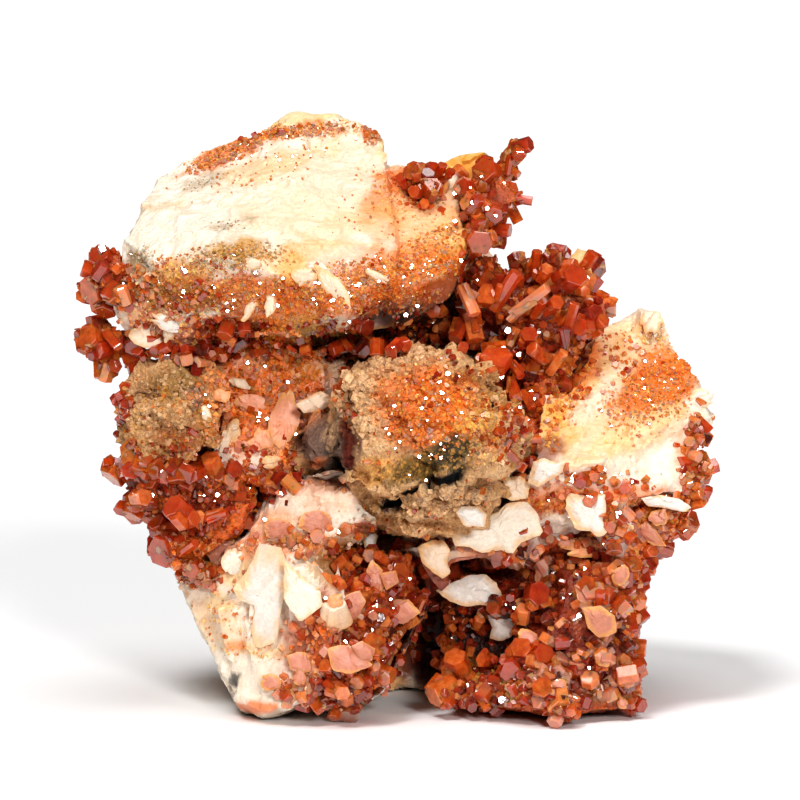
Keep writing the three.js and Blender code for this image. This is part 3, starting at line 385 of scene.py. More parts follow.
def vugs(points, normals):
    """How far each point lies in one of the stained hollows of the sides and back, from 0 to 1."""
    hidden = smoothstep(*HIDDEN_SIDE, normals @ FORWARD)
    return hidden * smoothstep(*VUG_EDGE, rough_noise(points, *VUG_NOISE))


# The wandering of the edges of patches and hollows: reach in units of the photograph, size in
# millimetres and seed. The wandering is less for cracks and shifts.
PATCH_WANDER = (9, 2.5, 91)
HOLLOW_WANDER = (6, 3, 95)
CRACK_CALM = 4
SHIFT_CALM = 6
# The grit that breaks a patch up along its edge: its share, its size in millimetres and its seed.
PATCH_GRIT = (0.9, 1.1, 93)
# How far toward the camera a face looks where patches and hollows begin and where they are whole.
PATCH_SIDE = (-0.2, 0.2)
HOLLOW_SIDE = (-0.1, 0.3)


def painted(points, normals, base, patches):
    """The colour of each point: its base, with the patches, some of them painted shade, laid over it where
    it faces the camera.
    """
    column, row = seen_at(points)
    wander = swells(points, *PATCH_WANDER)
    grit = swells(points, *PATCH_GRIT)
    front = smoothstep(*PATCH_SIDE, -(normals @ FORWARD))
    color = base.copy()
    for *ellipse, tint, strength in patches:
        mask = ellipse_mask(column, row, wander, *ellipse)
        mask = np.clip(mask + grit * (1 - np.abs(2 * mask - 1)), 0, 1)
        share = (strength * front * mask)[:, None]
        color += share * (np.array(tint) - color)
    return color + vugs(points, normals)[:, None] * (crust_base(points) - color)


def hollowed(points, normals):
    """The points moved by the hollows, the cracks and the shifts."""
    column, row = seen_at(points)
    wander = swells(points, *HOLLOW_WANDER)
    front = smoothstep(*HOLLOW_SIDE, -(normals @ FORWARD))
    depth = np.zeros(len(points))
    for *ellipse, deep in HOLLOWS:
        own = deep * ellipse_mask(column, row, wander, *ellipse)
        depth = np.where(np.abs(own) > np.abs(depth), own, depth)
    for *ellipse, deep in CRACKS:
        depth = np.maximum(depth, deep * ellipse_mask(column, row, wander / CRACK_CALM, *ellipse))
    moved = points + (front * depth * MM)[:, None] * FORWARD
    for *ellipse, aside, upward in SHIFTS:
        share = ellipse_mask(column, row, wander / SHIFT_CALM, *ellipse) * MM
        moved += share[:, None] * np.array([aside, 0.0, upward])
    return moved


# The small brown chip and its pocket, which stay clear of small crystals and grains as the cracks do.
CHIP_POCKET = (325, 446, 30, 34, 0)
CLEAR_ELLIPSES = [CHIP_POCKET, *[tuple(ellipse) for *ellipse, _ in CRACKS]]
CLEAR_SHARE = 0.3


def kept_clear(column, row):
    """Whether a spot of the photograph lies in one of the cracks or in the chip's pocket."""
    return max(ellipse_mask(column, row, 0.0, *ellipse) for ellipse in CLEAR_ELLIPSES) > CLEAR_SHARE


# The vanadinite crystals that stand out one by one: column, row, depth, axis, radius, length, spin.
HEROES = {
    "vanadinite_left_rim": [
        (104, 258, -7, (-0.5, -0.75, 0.45), 1.9, 3.2, 0.3),
        (95, 290, -6, (-0.55, -0.8, -0.1), 2.2, 2.8, 0.1),
        (110, 280, -9, (0.1, -0.9, 0.5), 1.7, 3, 0.5),
        (124, 298, -10, (0.2, -0.95, 0.1), 1.5, 3, 0.2),
        (128, 272, -10, (0.6, -0.7, 0.4), 1.1, 2.6, 0.6),
        (108, 306, -6, (-0.3, -0.6, -0.7), 1.5, 2.6, 0.9),
        (112, 268, 0, (-0.8, 0.3, 0.5), 1.8, 4, 0.4),
        (104, 296, 1, (-0.9, 0.4, -0.1), 1.7, 4, 0),
    ],
    "vanadinite_left_tip": [
        (90, 341, -6, (-0.5, -0.8, 0.25), 2.2, 3, 0.35),
        (104, 360, -4, (0.05, -0.2, -1), 1.85, 5, 0.5),
        (98, 326, -3, (-0.2, 0.1, 1), 1.5, 3, 0.2),
        (112, 340, -8, (0.5, -0.6, -0.5), 0.7, 3.4, 0.2),
        (133, 362, -6, (0.2, -0.3, -0.9), 1.0, 3, 0.3),
        (92, 344, 1, (-0.8, 0.5, 0), 1.6, 3.6, 0.1),
    ],
    "vanadinite_left_cluster": [
        (136, 452, -9, (-0.35, -0.9, 0.25), 2.4, 3, 0.25),
        (114, 474, -6, (-0.6, -0.35, -0.7), 2.2, 1.6, 0.4),
        (126, 470, -6, (-0.45, -0.7, 0.65), 1.6, 2.4, 0.1),
        (140, 502, -8, (0.15, -0.35, -0.9), 2.4, 1.5, 0.7),
        (133, 511, -5, (-0.3, -0.4, -0.85), 1.8, 1.8, 0.2),
        (148, 482, -9, (-0.1, -0.9, 0.3), 1.5, 3, 0.6),
        (179, 510, -12, (-0.55, -0.65, 0.55), 1.9, 3.2, 0.95),
        (190, 520, -12, (0.5, -0.7, 0.3), 1.2, 2.6, 0.3),
        (169, 549, -8, (-0.7, -0.65, -0.1), 2.5, 3.6, 0.35),
        (162, 528, -6, (-0.5, -0.5, 0.6), 1.4, 3, 0.1),
        (193, 566, -9, (-0.1, -0.9, -0.2), 1.3, 3, 0.5),
        (206, 578, -8, (0.1, -0.9, -0.4), 1.0, 2.6, 0.2),
        (189, 547, -11, (0.6, -0.6, 0.5), 0.8, 2.8, 0.3),
        (200, 520, -11, (0.1, -0.7, 0.7), 0.75, 2.6, 0.7),
        (216, 516, -11, (0.9, -0.4, 0.3), 0.65, 3.4, 0.2),
        (118, 470, 3, (-0.9, 0.3, 0.2), 1.8, 4, 0.3),
        (140, 508, 2, (-0.7, 0.4, -0.6), 1.9, 4, 0.6),
        (164, 545, 3, (-0.9, 0.4, -0.1), 1.8, 4, 0.1),
    ],
    "vanadinite_slab_group": [
        (415, 173, -2, (-0.45, -0.8, 0.25), 1.35, 2.6, 0.2),
        (431, 190, -4, (0.2, -0.8, 0.6), 1.45, 2.8, 0.5),
        (440, 171, -1, (0.3, -0.6, 0.8), 0.8, 2.4, 0.1),
        (403, 181, -2, (-0.4, -0.7, 0.6), 0.9, 2.2, 0.4),
        (425, 205, -5, (0, -0.9, 0.3), 0.8, 2.2, 0.3),
        (416, 192, -4, (-0.3, -0.9, 0.2), 0.95, 2.2, 0.7),
        (447, 176, -1, (0.6, -0.5, 0.6), 0.6, 2.6, 0.2),
    ],
    "vanadinite_top_spray": [
        (510, 162, -1, (0.32, -0.12, 0.94), 1.25, 6, 0.35),
        (487, 173, -4, (-0.35, -0.85, 0.3), 1.95, 3.2, 0.25),
        (468, 187, -5, (-0.45, -0.8, 0.1), 1.35, 3, 0.1),
        (461, 173, 1, (-0.4, -0.7, 0.5), 0.75, 2.6, 0.4),
        (494, 205, -4, (0.45, -0.75, 0.35), 2.0, 3.6, 0.6),
        (492, 210, -6, (0.1, -0.85, -0.4), 1.6, 3, 0.15),
        (511, 208, -2, (0.45, -0.1, -0.88), 0.95, 4.4, 0.3),
        (520, 199, -1, (0.95, -0.1, -0.15), 0.8, 3.4, 0.2),
        (476, 211, -7, (-0.5, -0.75, 0.25), 1.1, 2.8, 0.5),
        (478, 226, -7, (0, -0.45, 0.9), 1.3, 2.4, 0.1),
        (479, 241, -7, (0.2, -0.95, -0.15), 2.15, 3.4, 0.4),
        (490, 238, -3, (0.8, -0.3, 0.1), 1.5, 3.2, 0.2),
        (498, 176, 6, (0.6, 0.5, 0.6), 1.6, 4.4, 0.6),
        (500, 206, 7, (0.8, 0.6, -0.1), 1.6, 4, 0.1),
        (484, 236, 7, (0.7, 0.7, 0), 1.5, 3.6, 0.3),
    ],
    "vanadinite_saddle_cluster": [
        (484, 270, -3, (0.45, -0.75, 0.4), 1.55, 3.2, 0.2),
        (460, 271, -4, (0.3, -0.5, 0.8), 0.75, 3.4, 0.3),
        (499, 277, -3, (0.8, -0.3, 0.5), 0.9, 2.8, 0.5),
        (505, 291, -6, (0.50, -0.3, 0.80), 1.0, 6.4, 0.3),
        (538, 308, -6, (0.3, -0.7, 0.65), 0.9, 3.6, 0.8),
        (460, 330, -5, (-0.4, -0.6, -0.65), 1.2, 3.6, 0.5),
        (472, 328, -5, (0.2, -0.5, -0.85), 1.4, 4, 0.1),
        (484, 296, -5, (0.2, -0.9, 0.3), 1.7, 3, 0.4),
        (536, 262, -1, (0.1, -0.3, 0.95), 0.8, 3.4, 0.2),
        (544, 273, -4, (0.3, -0.75, 0.55), 1.1, 2.8, 0.9),
        (555, 257, 0, (-0.1, -0.5, 0.85), 1.5, 2.6, 0.5),
        (572, 279, -4, (0.35, -0.85, 0.35), 1.9, 3.6, 0.15),
        (587, 262, 2, (0.5, -0.3, 0.8), 1.0, 3.4, 0.3),
        (598, 306, 0, (0.78, -0.3, -0.5), 0.8, 4, 0.1),
        (554, 306, -6, (0.35, -0.85, 0.45), 1.2, 2.6, 0.3),
        (571, 317, -6, (0.25, -0.3, 0.92), 0.75, 4.2, 0.6),
        (565, 340, -6, (0.1, -0.35, 0.92), 0.75, 3.8, 0.1),
        (529, 337, -6, (0.05, -0.9, 0.4), 1.35, 2.8, 0.5),
        (496, 361, -7, (0.05, -0.6, 0.78), 2.45, 2, 0.52),
        (494, 347, -4, (0.97, -0.2, 0.1), 0.85, 3.4, 0.3),
        (516, 370, -6, (0.5, -0.6, -0.6), 0.65, 2.8, 0.2),
        (464, 372, -6, (-0.3, -0.8, 0.5), 1.2, 3.4, 0.4),
        (479, 381, -6, (0.65, -0.5, 0.55), 0.8, 3, 0.1),
        (538, 354, -7, (-0.6, -0.6, 0.55), 1, 3.2, 0.4),
        (515, 390, -7, (0.3, -0.6, -0.7), 0.8, 3.2, 0.3),
        (527, 400, -8, (0.45, -0.5, -0.75), 0.65, 3, 0.7),
        (556, 362, -6, (0.5, -0.4, 0.75), 0.8, 4, 0.2),
        (520, 430, -9, (-0.2, -0.8, 0.5), 0.9, 3, 0.2),
        (590, 272, 11, (0.5, 0.7, 0.5), 1.8, 4.4, 0.2),
        (560, 262, 11, (0.1, 0.6, 0.8), 1.6, 4, 0.6),
        (520, 268, 11, (-0.2, 0.5, 0.85), 1.5, 4, 0.3),
        (590, 312, -3, (0.4, -0.8, 0.1), 1.3, 3, 0.1),
        (597, 323, -3, (0.6, -0.7, 0.4), 1.2, 3, 0.5),
        (584, 327, -5, (-0.4, -0.8, 0.1), 1.3, 3, 0.2),
    ],
    "vanadinite_pocket_crust": [
        (243, 318, -11, (0.1, -0.6, -0.8), 1.1, 5, 0.2),
        (229, 323, -11, (-0.3, -0.6, -0.75), 1.3, 4.6, 0.4),
        (213, 347, -7, (-0.6, -0.6, -0.4), 1, 3.6, 0.1),
        (266, 348, -5, (-0.8, -0.5, -0.3), 0.8, 4.2, 0.6),
        (280, 342, -6, (0.3, -0.6, 0.75), 0.8, 4, 0.3),
        (362, 322, -9, (0.5, -0.7, -0.4), 1.5, 3.2, 0.1),
        (402, 316, -7, (0.4, -0.8, -0.3), 1.1, 3, 0.6),
    ],
    "vanadinite_lower_centre": [
        (372, 648, -18, (0.4, -0.75, 0.5), 1.9, 2.8, 0.3),
        (352, 655, -19, (-0.5, -0.75, 0.2), 1.5, 2.6, 0.1),
        (338, 690, -20, (0.4, -0.85, -0.15), 1.3, 3, 0.5),
        (380, 672, -16, (0.85, -0.4, -0.2), 1.5, 3.6, 0.2),
        (330, 668, -20, (-0.55, -0.7, 0.35), 1.1, 2.6, 0.6),
        (374, 616, -15, (0.2, -0.9, 0.1), 1.7, 2.8, 0.4),
        (326, 582, -17, (-0.1, -0.9, 0.3), 1.2, 2.6, 0.2),
        (398, 574, -12, (0.3, -0.85, 0.3), 1.6, 2.6, 0.6),
        (384, 560, -12, (-0.5, -0.6, 0.5), 0.8, 3.4, 0.4),
        (422, 600, -9, (0.3, -0.5, 0.8), 0.75, 3.6, 0.1),
    ],
    "vanadinite_lower_right_mass": [
        (536, 594, -13, (0.3, -0.9, 0.2), 1.7, 2.8, 0.8),
        (522, 614, -12, (0.1, -0.6, 0.75), 1.2, 2.6, 0.3),
        (524, 650, -14, (-0.3, -0.8, 0.4), 1.7, 2.8, 0.5),
        (541, 655, -15, (0.4, -0.8, 0.3), 1.5, 2.6, 0.2),
        (510, 668, -15, (-0.1, -0.9, -0.2), 1.6, 2.6, 0.7),
        (560, 704, -19, (0.1, -0.7, -0.55), 2.3, 2.6, 0.4),
        (542, 690, -19, (0, -0.85, 0.4), 1.5, 3, 0.1),
        (590, 585, -15, (-0.45, -0.8, 0.15), 1.5, 2.8, 0.4),
        (614, 572, -14, (0.3, -0.8, 0.4), 1.6, 2.8, 0.1),
        (595, 616, -16, (0.1, -0.95, 0.1), 1.7, 2.6, 0.6),
        (618, 604, -14, (0.5, -0.8, 0.1), 1.6, 3, 0.2),
        (628, 568, -12, (0.6, -0.6, 0.4), 1.4, 3, 0.5),
        (602, 657, -16, (-0.1, -0.9, 0.3), 1.4, 2.6, 0.3),
        (622, 672, -14, (0.3, -0.9, 0.2), 1.3, 2.6, 0.1),
        (600, 600, -17, (0, -0.5, 0.85), 0.75, 3, 0.3),
        (684, 520, -8, (0.7, -0.6, 0.2), 1.5, 3.4, 0.2),
        (668, 512, -11, (0.2, -0.8, 0.5), 1.4, 2.8, 0.6),
        (458, 664, -10, (-0.3, -0.6, 0.7), 1.7, 3.2, 0.2),
        (444, 692, -12, (-0.7, -0.5, -0.3), 1.9, 3.8, 0.3),
        (486, 660, -11, (-0.5, -0.75, 0.15), 1.1, 2.8, 0.5),
        (478, 622, -7, (0.2, -0.8, 0.5), 0.9, 2.8, 0.1),
        (634, 704, -11, (0.6, -0.6, -0.1), 1.2, 3.2, 0.4),
    ],
    "vanadinite_right_rim": [
        (699, 459, -5, (0.6, -0.7, 0.4), 1.0, 2.4, 0.2),
        (700, 476, -5, (0.7, -0.7, 0), 1.3, 2.6, 0.5),
        (694, 492, -7, (0.3, -0.8, -0.4), 1.3, 2.8, 0.1),
        (706, 468, 3, (0.9, 0.3, 0.3), 1.3, 3.2, 0.3),
        (700, 490, 3, (0.9, 0.3, -0.2), 1.2, 3, 0.6),
    ],
}

# Where small crystals are thrown: column, row, half width, half height, turn, how many, smallest and
# largest radius, shortest and longest length in radii, how jumbled, tone from dark to pale, and dust and
# painted sheen.
THROWS = [
    (232, 152, 50, 8, -24, 220, 0.10, 0.28, 1.2, 2.6, 1.2, 0.84, 0.3),
    (306, 131, 50, 7, -6, 170, 0.10, 0.28, 1.2, 2.6, 1.2, 0.84, 0.3),
    (262, 138, 32, 3, -22, 9, 0.32, 0.5, 2.0, 3.6, 1.2, 0.62, 0.5),
    (372, 134, 9, 8, 30, 26, 0.18, 0.4, 1.4, 2.6, 1.2, 0.76, 0.3),
    (260, 170, 70, 20, -15, 90, 0.08, 0.18, 1.2, 2.0, 1.2, 0.82, 0.2),
    (395, 205, 70, 40, 0, 120, 0.08, 0.2, 1.2, 2.0, 1.2, 0.8, 0.2),
    (418, 186, 30, 22, 20, 100, 0.2, 0.5, 1.3, 2.6, 1.2, 0.7, 0.5),
    (436, 244, 46, 16, -24, 160, 0.08, 0.2, 1.3, 2.4, 1.2, 0.84, 0.2),
    (390, 272, 84, 16, -8, 520, 0.08, 0.26, 1.3, 2.4, 1.3, 0.84, 0.2),
    (300, 300, 150, 20, 0, 800, 0.08, 0.28, 1.3, 2.6, 1.4, 0.78, 0.3),
    (210, 262, 66, 12, 0, 220, 0.08, 0.2, 1.2, 2.2, 1.2, 0.72, 0.2),
    (170, 298, 52, 30, 20, 200, 0.18, 0.5, 1.3, 2.8, 1.3, 0.6, 0.5),
    (150, 335, 40, 16, 10, 50, 0.25, 0.6, 1.3, 2.8, 1.3, 0.66, 0.6),
    (232, 338, 30, 18, 0, 60, 0.25, 0.6, 1.8, 4.2, 1.4, 0.42, 0.5),
    (280, 340, 34, 18, 0, 60, 0.12, 0.32, 1.4, 3.2, 1.4, 0.7, 0.3),
    (370, 330, 84, 20, 0, 150, 0.2, 0.5, 1.4, 3.2, 1.4, 0.36, 0.6),
    (474, 285, 26, 30, 0, 60, 0.3, 0.7, 1.6, 4.2, 1.4, 0.36, 0.7),
    # The crystals at 460, 350 stand in the dark gap, and their darkest tone is painted shade.
    (460, 350, 34, 30, 0, 30, 0.2, 0.5, 1.6, 4.2, 1.4, 0.12, 0.7),
    (540, 322, 54, 58, 0, 220, 0.25, 0.7, 1.5, 4.0, 1.4, 0.48, 0.7),
    (575, 288, 24, 30, 0, 60, 0.35, 0.9, 1.5, 3.6, 1.2, 0.48, 0.6),
    (520, 410, 26, 46, 10, 130, 0.25, 0.6, 1.4, 3.4, 1.3, 0.48, 0.4),
    (565, 390, 20, 46, 24, 90, 0.2, 0.45, 1.2, 2.4, 1.3, 0.66, 0.4),
    (600, 345, 38, 16, -10, 60, 0.1, 0.26, 1.2, 2.6, 1.3, 0.76, 0.2),
    (655, 388, 48, 32, -38, 520, 0.08, 0.22, 1.2, 2.4, 1.3, 0.86, 0.2),
    (620, 368, 36, 22, -35, 22, 0.3, 0.5, 1.0, 1.6, 0.8, 0.76, 0.2),
    (696, 455, 14, 44, 0, 90, 0.3, 0.8, 1.2, 2.6, 1.2, 0.55, 0.7),
    (262, 400, 66, 52, 0, 420, 0.12, 0.36, 1.3, 3.0, 1.3, 0.72, 0.2),
    (270, 415, 44, 36, 0, 50, 0.4, 0.8, 0.8, 1.5, 1.2, 0.84, 0.3),
    (165, 420, 50, 44, 0, 60, 0.12, 0.3, 1.2, 2.4, 1.3, 0.62, 0.3),
    (116, 405, 14, 34, 0, 50, 0.35, 0.85, 1.2, 2.4, 1.2, 0.55, 0.7),
    (425, 405, 54, 40, 0, 420, 0.12, 0.34, 1.2, 2.4, 1.3, 0.78, 0.3),
    (490, 425, 20, 34, 0, 90, 0.15, 0.4, 1.2, 2.6, 1.3, 0.6, 0.4),
    (185, 490, 70, 42, 15, 300, 0.18, 0.5, 1.3, 3.2, 1.4, 0.36, 0.9),
    (240, 480, 55, 30, 0, 130, 0.2, 0.5, 1.3, 3.2, 1.4, 0.42, 0.8),
    (300, 450, 54, 16, -20, 60, 0.2, 0.5, 1.3, 3.2, 1.4, 0.55, 0.6),
    (160, 545, 20, 26, 0, 36, 0.4, 0.9, 1.3, 2.6, 1.3, 0.55, 0.6),
    (200, 570, 24, 16, 0, 50, 0.35, 0.8, 1.2, 2.6, 1.3, 0.62, 0.7),
    (300, 540, 56, 14, 0, 60, 0.35, 0.9, 0.8, 1.8, 1.3, 0.8, 0.7),
    (345, 470, 50, 18, -10, 40, 0.12, 0.36, 1.2, 2.6, 1.3, 0.8, 0.3),
    (385, 580, 44, 42, 0, 110, 0.3, 0.8, 1.2, 3.4, 1.4, 0.42, 0.6),
    (416, 612, 16, 46, 0, 60, 0.3, 0.8, 1.1, 2.8, 1.4, 0.4, 0.7),
    (345, 650, 48, 54, 0, 44, 0.5, 1.1, 0.8, 1.8, 1.3, 0.74, 0.8),
    (370, 640, 40, 56, 0, 120, 0.3, 0.8, 1.2, 3.0, 1.4, 0.42, 0.6),
    (330, 696, 36, 14, 0, 80, 0.4, 0.9, 1.2, 2.6, 1.4, 0.42, 0.6),
    (300, 690, 26, 20, 0, 24, 0.4, 0.8, 1.0, 2.2, 1.3, 0.9, 0.6),
    (225, 620, 38, 44, 0, 30, 0.12, 0.3, 1.0, 2.0, 1.0, 0.8, 0.2),
    (560, 482, 86, 16, 0, 90, 0.2, 0.5, 1.2, 2.8, 1.3, 0.62, 0.6),
    (640, 525, 56, 26, 10, 130, 0.3, 0.95, 1.1, 2.6, 1.3, 0.6, 0.9),
    (570, 565, 96, 30, 0, 70, 0.35, 0.9, 1.1, 2.8, 1.4, 0.4, 0.9),
    (570, 560, 96, 26, 0, 30, 0.5, 1.1, 0.8, 1.5, 1.4, 0.85, 1.0),
    (585, 625, 70, 76, 0, 150, 0.3, 0.8, 1.1, 2.8, 1.4, 0.25, 0.9),
    (600, 606, 40, 40, 0, 36, 0.7, 1.5, 0.8, 1.4, 1.2, 0.9, 1.0),
    (570, 660, 60, 30, 0, 34, 0.6, 1.2, 0.8, 1.5, 1.4, 0.9, 1.0),
    (480, 620, 50, 44, 0, 90, 0.3, 0.8, 1.2, 3.0, 1.4, 0.22, 0.6),
    (540, 690, 96, 22, 0, 110, 0.35, 0.9, 1.1, 2.6, 1.4, 0.35, 0.8),
    (560, 690, 80, 22, 0, 36, 0.5, 1.1, 0.8, 1.5, 1.4, 0.95, 1.0),
    (470, 690, 36, 20, 0, 60, 0.4, 0.9, 1.1, 2.6, 1.4, 0.35, 0.8),
    (440, 520, 60, 26, 0, 36, 0.15, 0.4, 1.2, 2.6, 1.3, 0.6, 0.5),
]
# Where grains of stone are thrown: column, row, half width, half height, turn, how many, smallest and
# largest radius, and the colours that they take in turn.
GRAINS = [
    (355, 395, 20, 50, -10, 420, 0.15, 0.6, (TAN, KHAKI, TAN)),
    (400, 358, 36, 14, -10, 260, 0.15, 0.55, (TAN, TAN, KHAKI)),
    (430, 505, 62, 16, -8, 420, 0.12, 0.45, (TAN, KHAKI, TAN, MAUVE)),
    (495, 415, 20, 44, -20, 200, 0.15, 0.5, (KHAKI, GOLD, TAN)),
    (430, 465, 50, 14, -15, 320, 0.1, 0.3, (OLIVE, GOLD, SLATE, HONEY)),
    (165, 418, 52, 44, 0, 800, 0.1, 0.42, (TAN, KHAKI, GOLD, TAN)),
    (327, 448, 26, 30, 0, 300, 0.1, 0.4, (MAUVE, UMBER, TAN)),
    (240, 256, 50, 12, -4, 420, 0.08, 0.26, (GOLD, OLIVE, HONEY, CREAM)),
    (140, 265, 14, 18, 20, 160, 0.08, 0.3, (OLIVE, GOLD, CREAM)),
    (175, 295, 44, 14, 6, 300, 0.1, 0.34, (GOLD, OLIVE, GOLD)),
    (305, 340, 46, 16, 0, 260, 0.12, 0.36, (OLIVE, GOLD, GOLD)),
    (272, 452, 10, 8, 0, 50, 0.15, 0.4, (TAN, KHAKI)),
    (485, 678, 12, 14, 0, 90, 0.12, 0.36, (GOLD, HONEY, OLIVE)),
    (510, 690, 22, 11, 0, 140, 0.12, 0.36, (GOLD, CREAM, OLIVE)),
    (640, 510, 52, 12, 0, 150, 0.12, 0.36, (GOLD, KHAKI, HONEY)),
    (205, 183, 16, 7, -20, 50, 0.06, 0.16, (OLIVE, GOLD)),
    (226, 226, 18, 6, -10, 50, 0.06, 0.16, (OLIVE, GOLD)),
    (370, 532, 26, 12, 0, 100, 0.12, 0.36, (RUST, GOLD, OLIVE)),
]
# Where sugary druse is thrown, in the same way.
DRUSE = [
    (425, 405, 54, 40, 0, 850, 0.1, 0.34, (ORANGE, CORAL, HONEY, ORANGE)),
    (480, 430, 26, 34, 0, 240, 0.1, 0.34, (HONEY, ORANGE, GOLD)),
    (232, 150, 50, 9, -24, 420, 0.08, 0.24, (ORANGE, HONEY, ORANGE)),
    (312, 130, 54, 8, -4, 420, 0.08, 0.24, (ORANGE, HONEY, PEACH)),
    (372, 134, 10, 9, 30, 90, 0.1, 0.3, (ORANGE, RUST)),
    (400, 195, 40, 20, 20, 240, 0.08, 0.26, (ORANGE, PEACH, HONEY)),
    (430, 244, 46, 14, -24, 420, 0.08, 0.24, (HONEY, PEACH, ORANGE)),
    (385, 272, 86, 15, -8, 900, 0.08, 0.26, (ORANGE, HONEY, ORANGE)),
    (300, 298, 150, 20, 0, 1500, 0.08, 0.3, (ORANGE, HONEY, RUST)),
    (220, 285, 80, 14, 0, 600, 0.08, 0.26, (GOLD, ORANGE, RUST)),
    (185, 272, 50, 9, -4, 300, 0.08, 0.24, (HONEY, ORANGE)),
    (160, 310, 50, 30, 20, 420, 0.12, 0.4, (ORANGE, PEACH, HONEY)),
    (265, 400, 64, 52, 0, 1300, 0.1, 0.45, (CORAL, SALMON, CORAL, ORANGE)),
    (272, 345, 34, 24, 0, 700, 0.1, 0.4, (ORANGE, CORAL, GOLD)),
    (300, 548, 64, 14, 0, 260, 0.12, 0.45, (PEACH, ORANGE, CREAM)),
    (300, 455, 60, 14, -25, 260, 0.1, 0.34, (ORANGE, HONEY, PEACH)),
    (650, 388, 52, 34, -38, 750, 0.08, 0.24, (ORANGE, HONEY, ORANGE)),
    (565, 400, 18, 50, 24, 300, 0.1, 0.3, (ORANGE, HONEY)),
    (655, 335, 18, 14, 0, 120, 0.1, 0.34, (CREAM, HONEY, PEACH)),
    (560, 502, 60, 12, 0, 220, 0.1, 0.36, (HONEY, ORANGE, RUST)),
    (640, 515, 60, 14, 0, 260, 0.1, 0.36, (ORANGE, RUST, HONEY)),
    (190, 500, 60, 34, 20, 420, 0.12, 0.4, (RUST, EMBER, ORANGE)),
    (185, 555, 36, 26, 20, 240, 0.12, 0.45, (ORANGE, PEACH)),
    (640, 620, 16, 70, 0, 260, 0.12, 0.45, (ORANGE, HONEY, RUST)),
    (345, 650, 50, 50, 0, 300, 0.15, 0.55, (ORANGE, PEACH, RUST)),
    (225, 615, 34, 44, 10, 90, 0.1, 0.3, (HONEY, ORANGE)),
    (255, 652, 44, 8, 6, 60, 0.1, 0.26, (HONEY, ORANGE)),
]
# Thin plates of barite drawn on the photograph: how far they stand out in millimetres, colour, and the
# corners of the outline.
PLATES = [
    (1.4, CHALK, [(528, 482), (533, 462), (543, 458), (556, 463), (566, 460), (562, 472), (550, 480),
                  (538, 487)]),
    (1.0, CREAM, [(503, 478), (520, 476), (530, 484), (527, 498), (512, 501), (503, 496)]),
    (2.0, MILK, [(448, 528), (458, 520), (480, 519), (498, 512), (508, 502), (525, 502), (536, 512),
                 (542, 535), (525, 540), (517, 545), (512, 554), (498, 549), (486, 553), (470, 547),
                 (455, 545)]),
    (2.4, CHALK, [(456, 512), (462, 506), (478, 506), (487, 515), (484, 526), (465, 526)]),
    (2.2, CHALK, [(568, 492), (582, 496), (604, 494), (606, 508), (602, 520), (606, 532), (598, 538),
                  (590, 531), (575, 529), (570, 518), (565, 508)]),
    (2.0, CREAM, [(418, 547), (430, 540), (444, 540), (450, 550), (447, 562), (451, 572), (443, 579),
                  (432, 571), (422, 562)]),
    (2.6, CHALK, [(436, 590), (446, 584), (458, 580), (470, 574), (485, 574), (497, 583), (502, 596),
                  (495, 608), (483, 604), (468, 606), (452, 602), (444, 597)]),
    (2.6, CHALK, [(485, 612), (498, 618), (512, 617), (518, 625), (512, 636), (500, 641), (489, 638),
                  (492, 627)]),
    (1.4, CHALK, [(640, 498), (660, 495), (680, 499), (691, 507), (684, 512), (665, 508), (648, 506)]),
    (1.4, BLUSH, [(637, 528), (646, 521), (656, 530), (666, 546), (652, 545), (640, 536)]),
    (1.0, CREAM, [(632, 560), (645, 561), (654, 575), (652, 595), (644, 592), (640, 575)]),
    (1.8, BLUSH, [(574, 585), (590, 581), (598, 592), (590, 605), (578, 600)]),
    (1.4, BLUSH, [(582, 608), (600, 605), (614, 615), (617, 632), (600, 638), (588, 628)]),
    (1.6, BLUSH, [(594, 655), (602, 649), (612, 655), (608, 667), (598, 665)]),
    (1.2, CHALK, [(260, 545), (280, 547), (289, 565), (286, 590), (279, 620), (276, 640), (256, 649),
                  (250, 630), (256, 606), (240, 600), (232, 590), (246, 574)]),
    (1.4, MILK, [(285, 560), (300, 575), (320, 590), (323, 605), (300, 621), (284, 600)]),
    (1.0, BLUSH, [(205, 528), (225, 524), (238, 545), (230, 561), (212, 565), (205, 550)]),
    (2.0, BLUSH, [(328, 648), (345, 644), (362, 655), (373, 665), (350, 673), (332, 669)]),
    (2.2, BLUSH, [(352, 645), (362, 640), (375, 648), (372, 660), (360, 665)]),
    (1.6, BLUSH, [(287, 655), (300, 651), (320, 655), (322, 669), (300, 673), (290, 668)]),
    (1.4, BLUSH, [(340, 608), (347, 594), (360, 590), (366, 602), (357, 618), (346, 622)]),
    (1.6, BLUSH, [(366, 570), (372, 559), (385, 572), (383, 593), (372, 588)]),
    (1.8, BLUSH, [(380, 573), (396, 570), (399, 582), (386, 590)]),
    (1.4, CHALK, [(362, 536), (370, 529), (378, 535), (374, 551), (365, 548)]),
    (1.8, BLUSH, [(382, 612), (392, 599), (408, 599), (421, 612), (405, 623), (390, 622)]),
    (0.4, LEMON, [(571, 256), (578, 248), (590, 251), (593, 285), (590, 310), (580, 326), (572, 300)]),
    (0.4, AMBER, [(444, 163), (456, 156), (470, 153), (486, 152), (490, 160), (487, 190), (472, 212),
                  (452, 198)]),
    (1.8, CREAM, [(296, 404), (310, 396), (320, 391), (330, 395), (333, 404), (320, 411), (304, 413)]),
    (0.9, CREAM, [(313, 264), (322, 268), (338, 278), (350, 296), (349, 313), (336, 304), (322, 288)]),
]
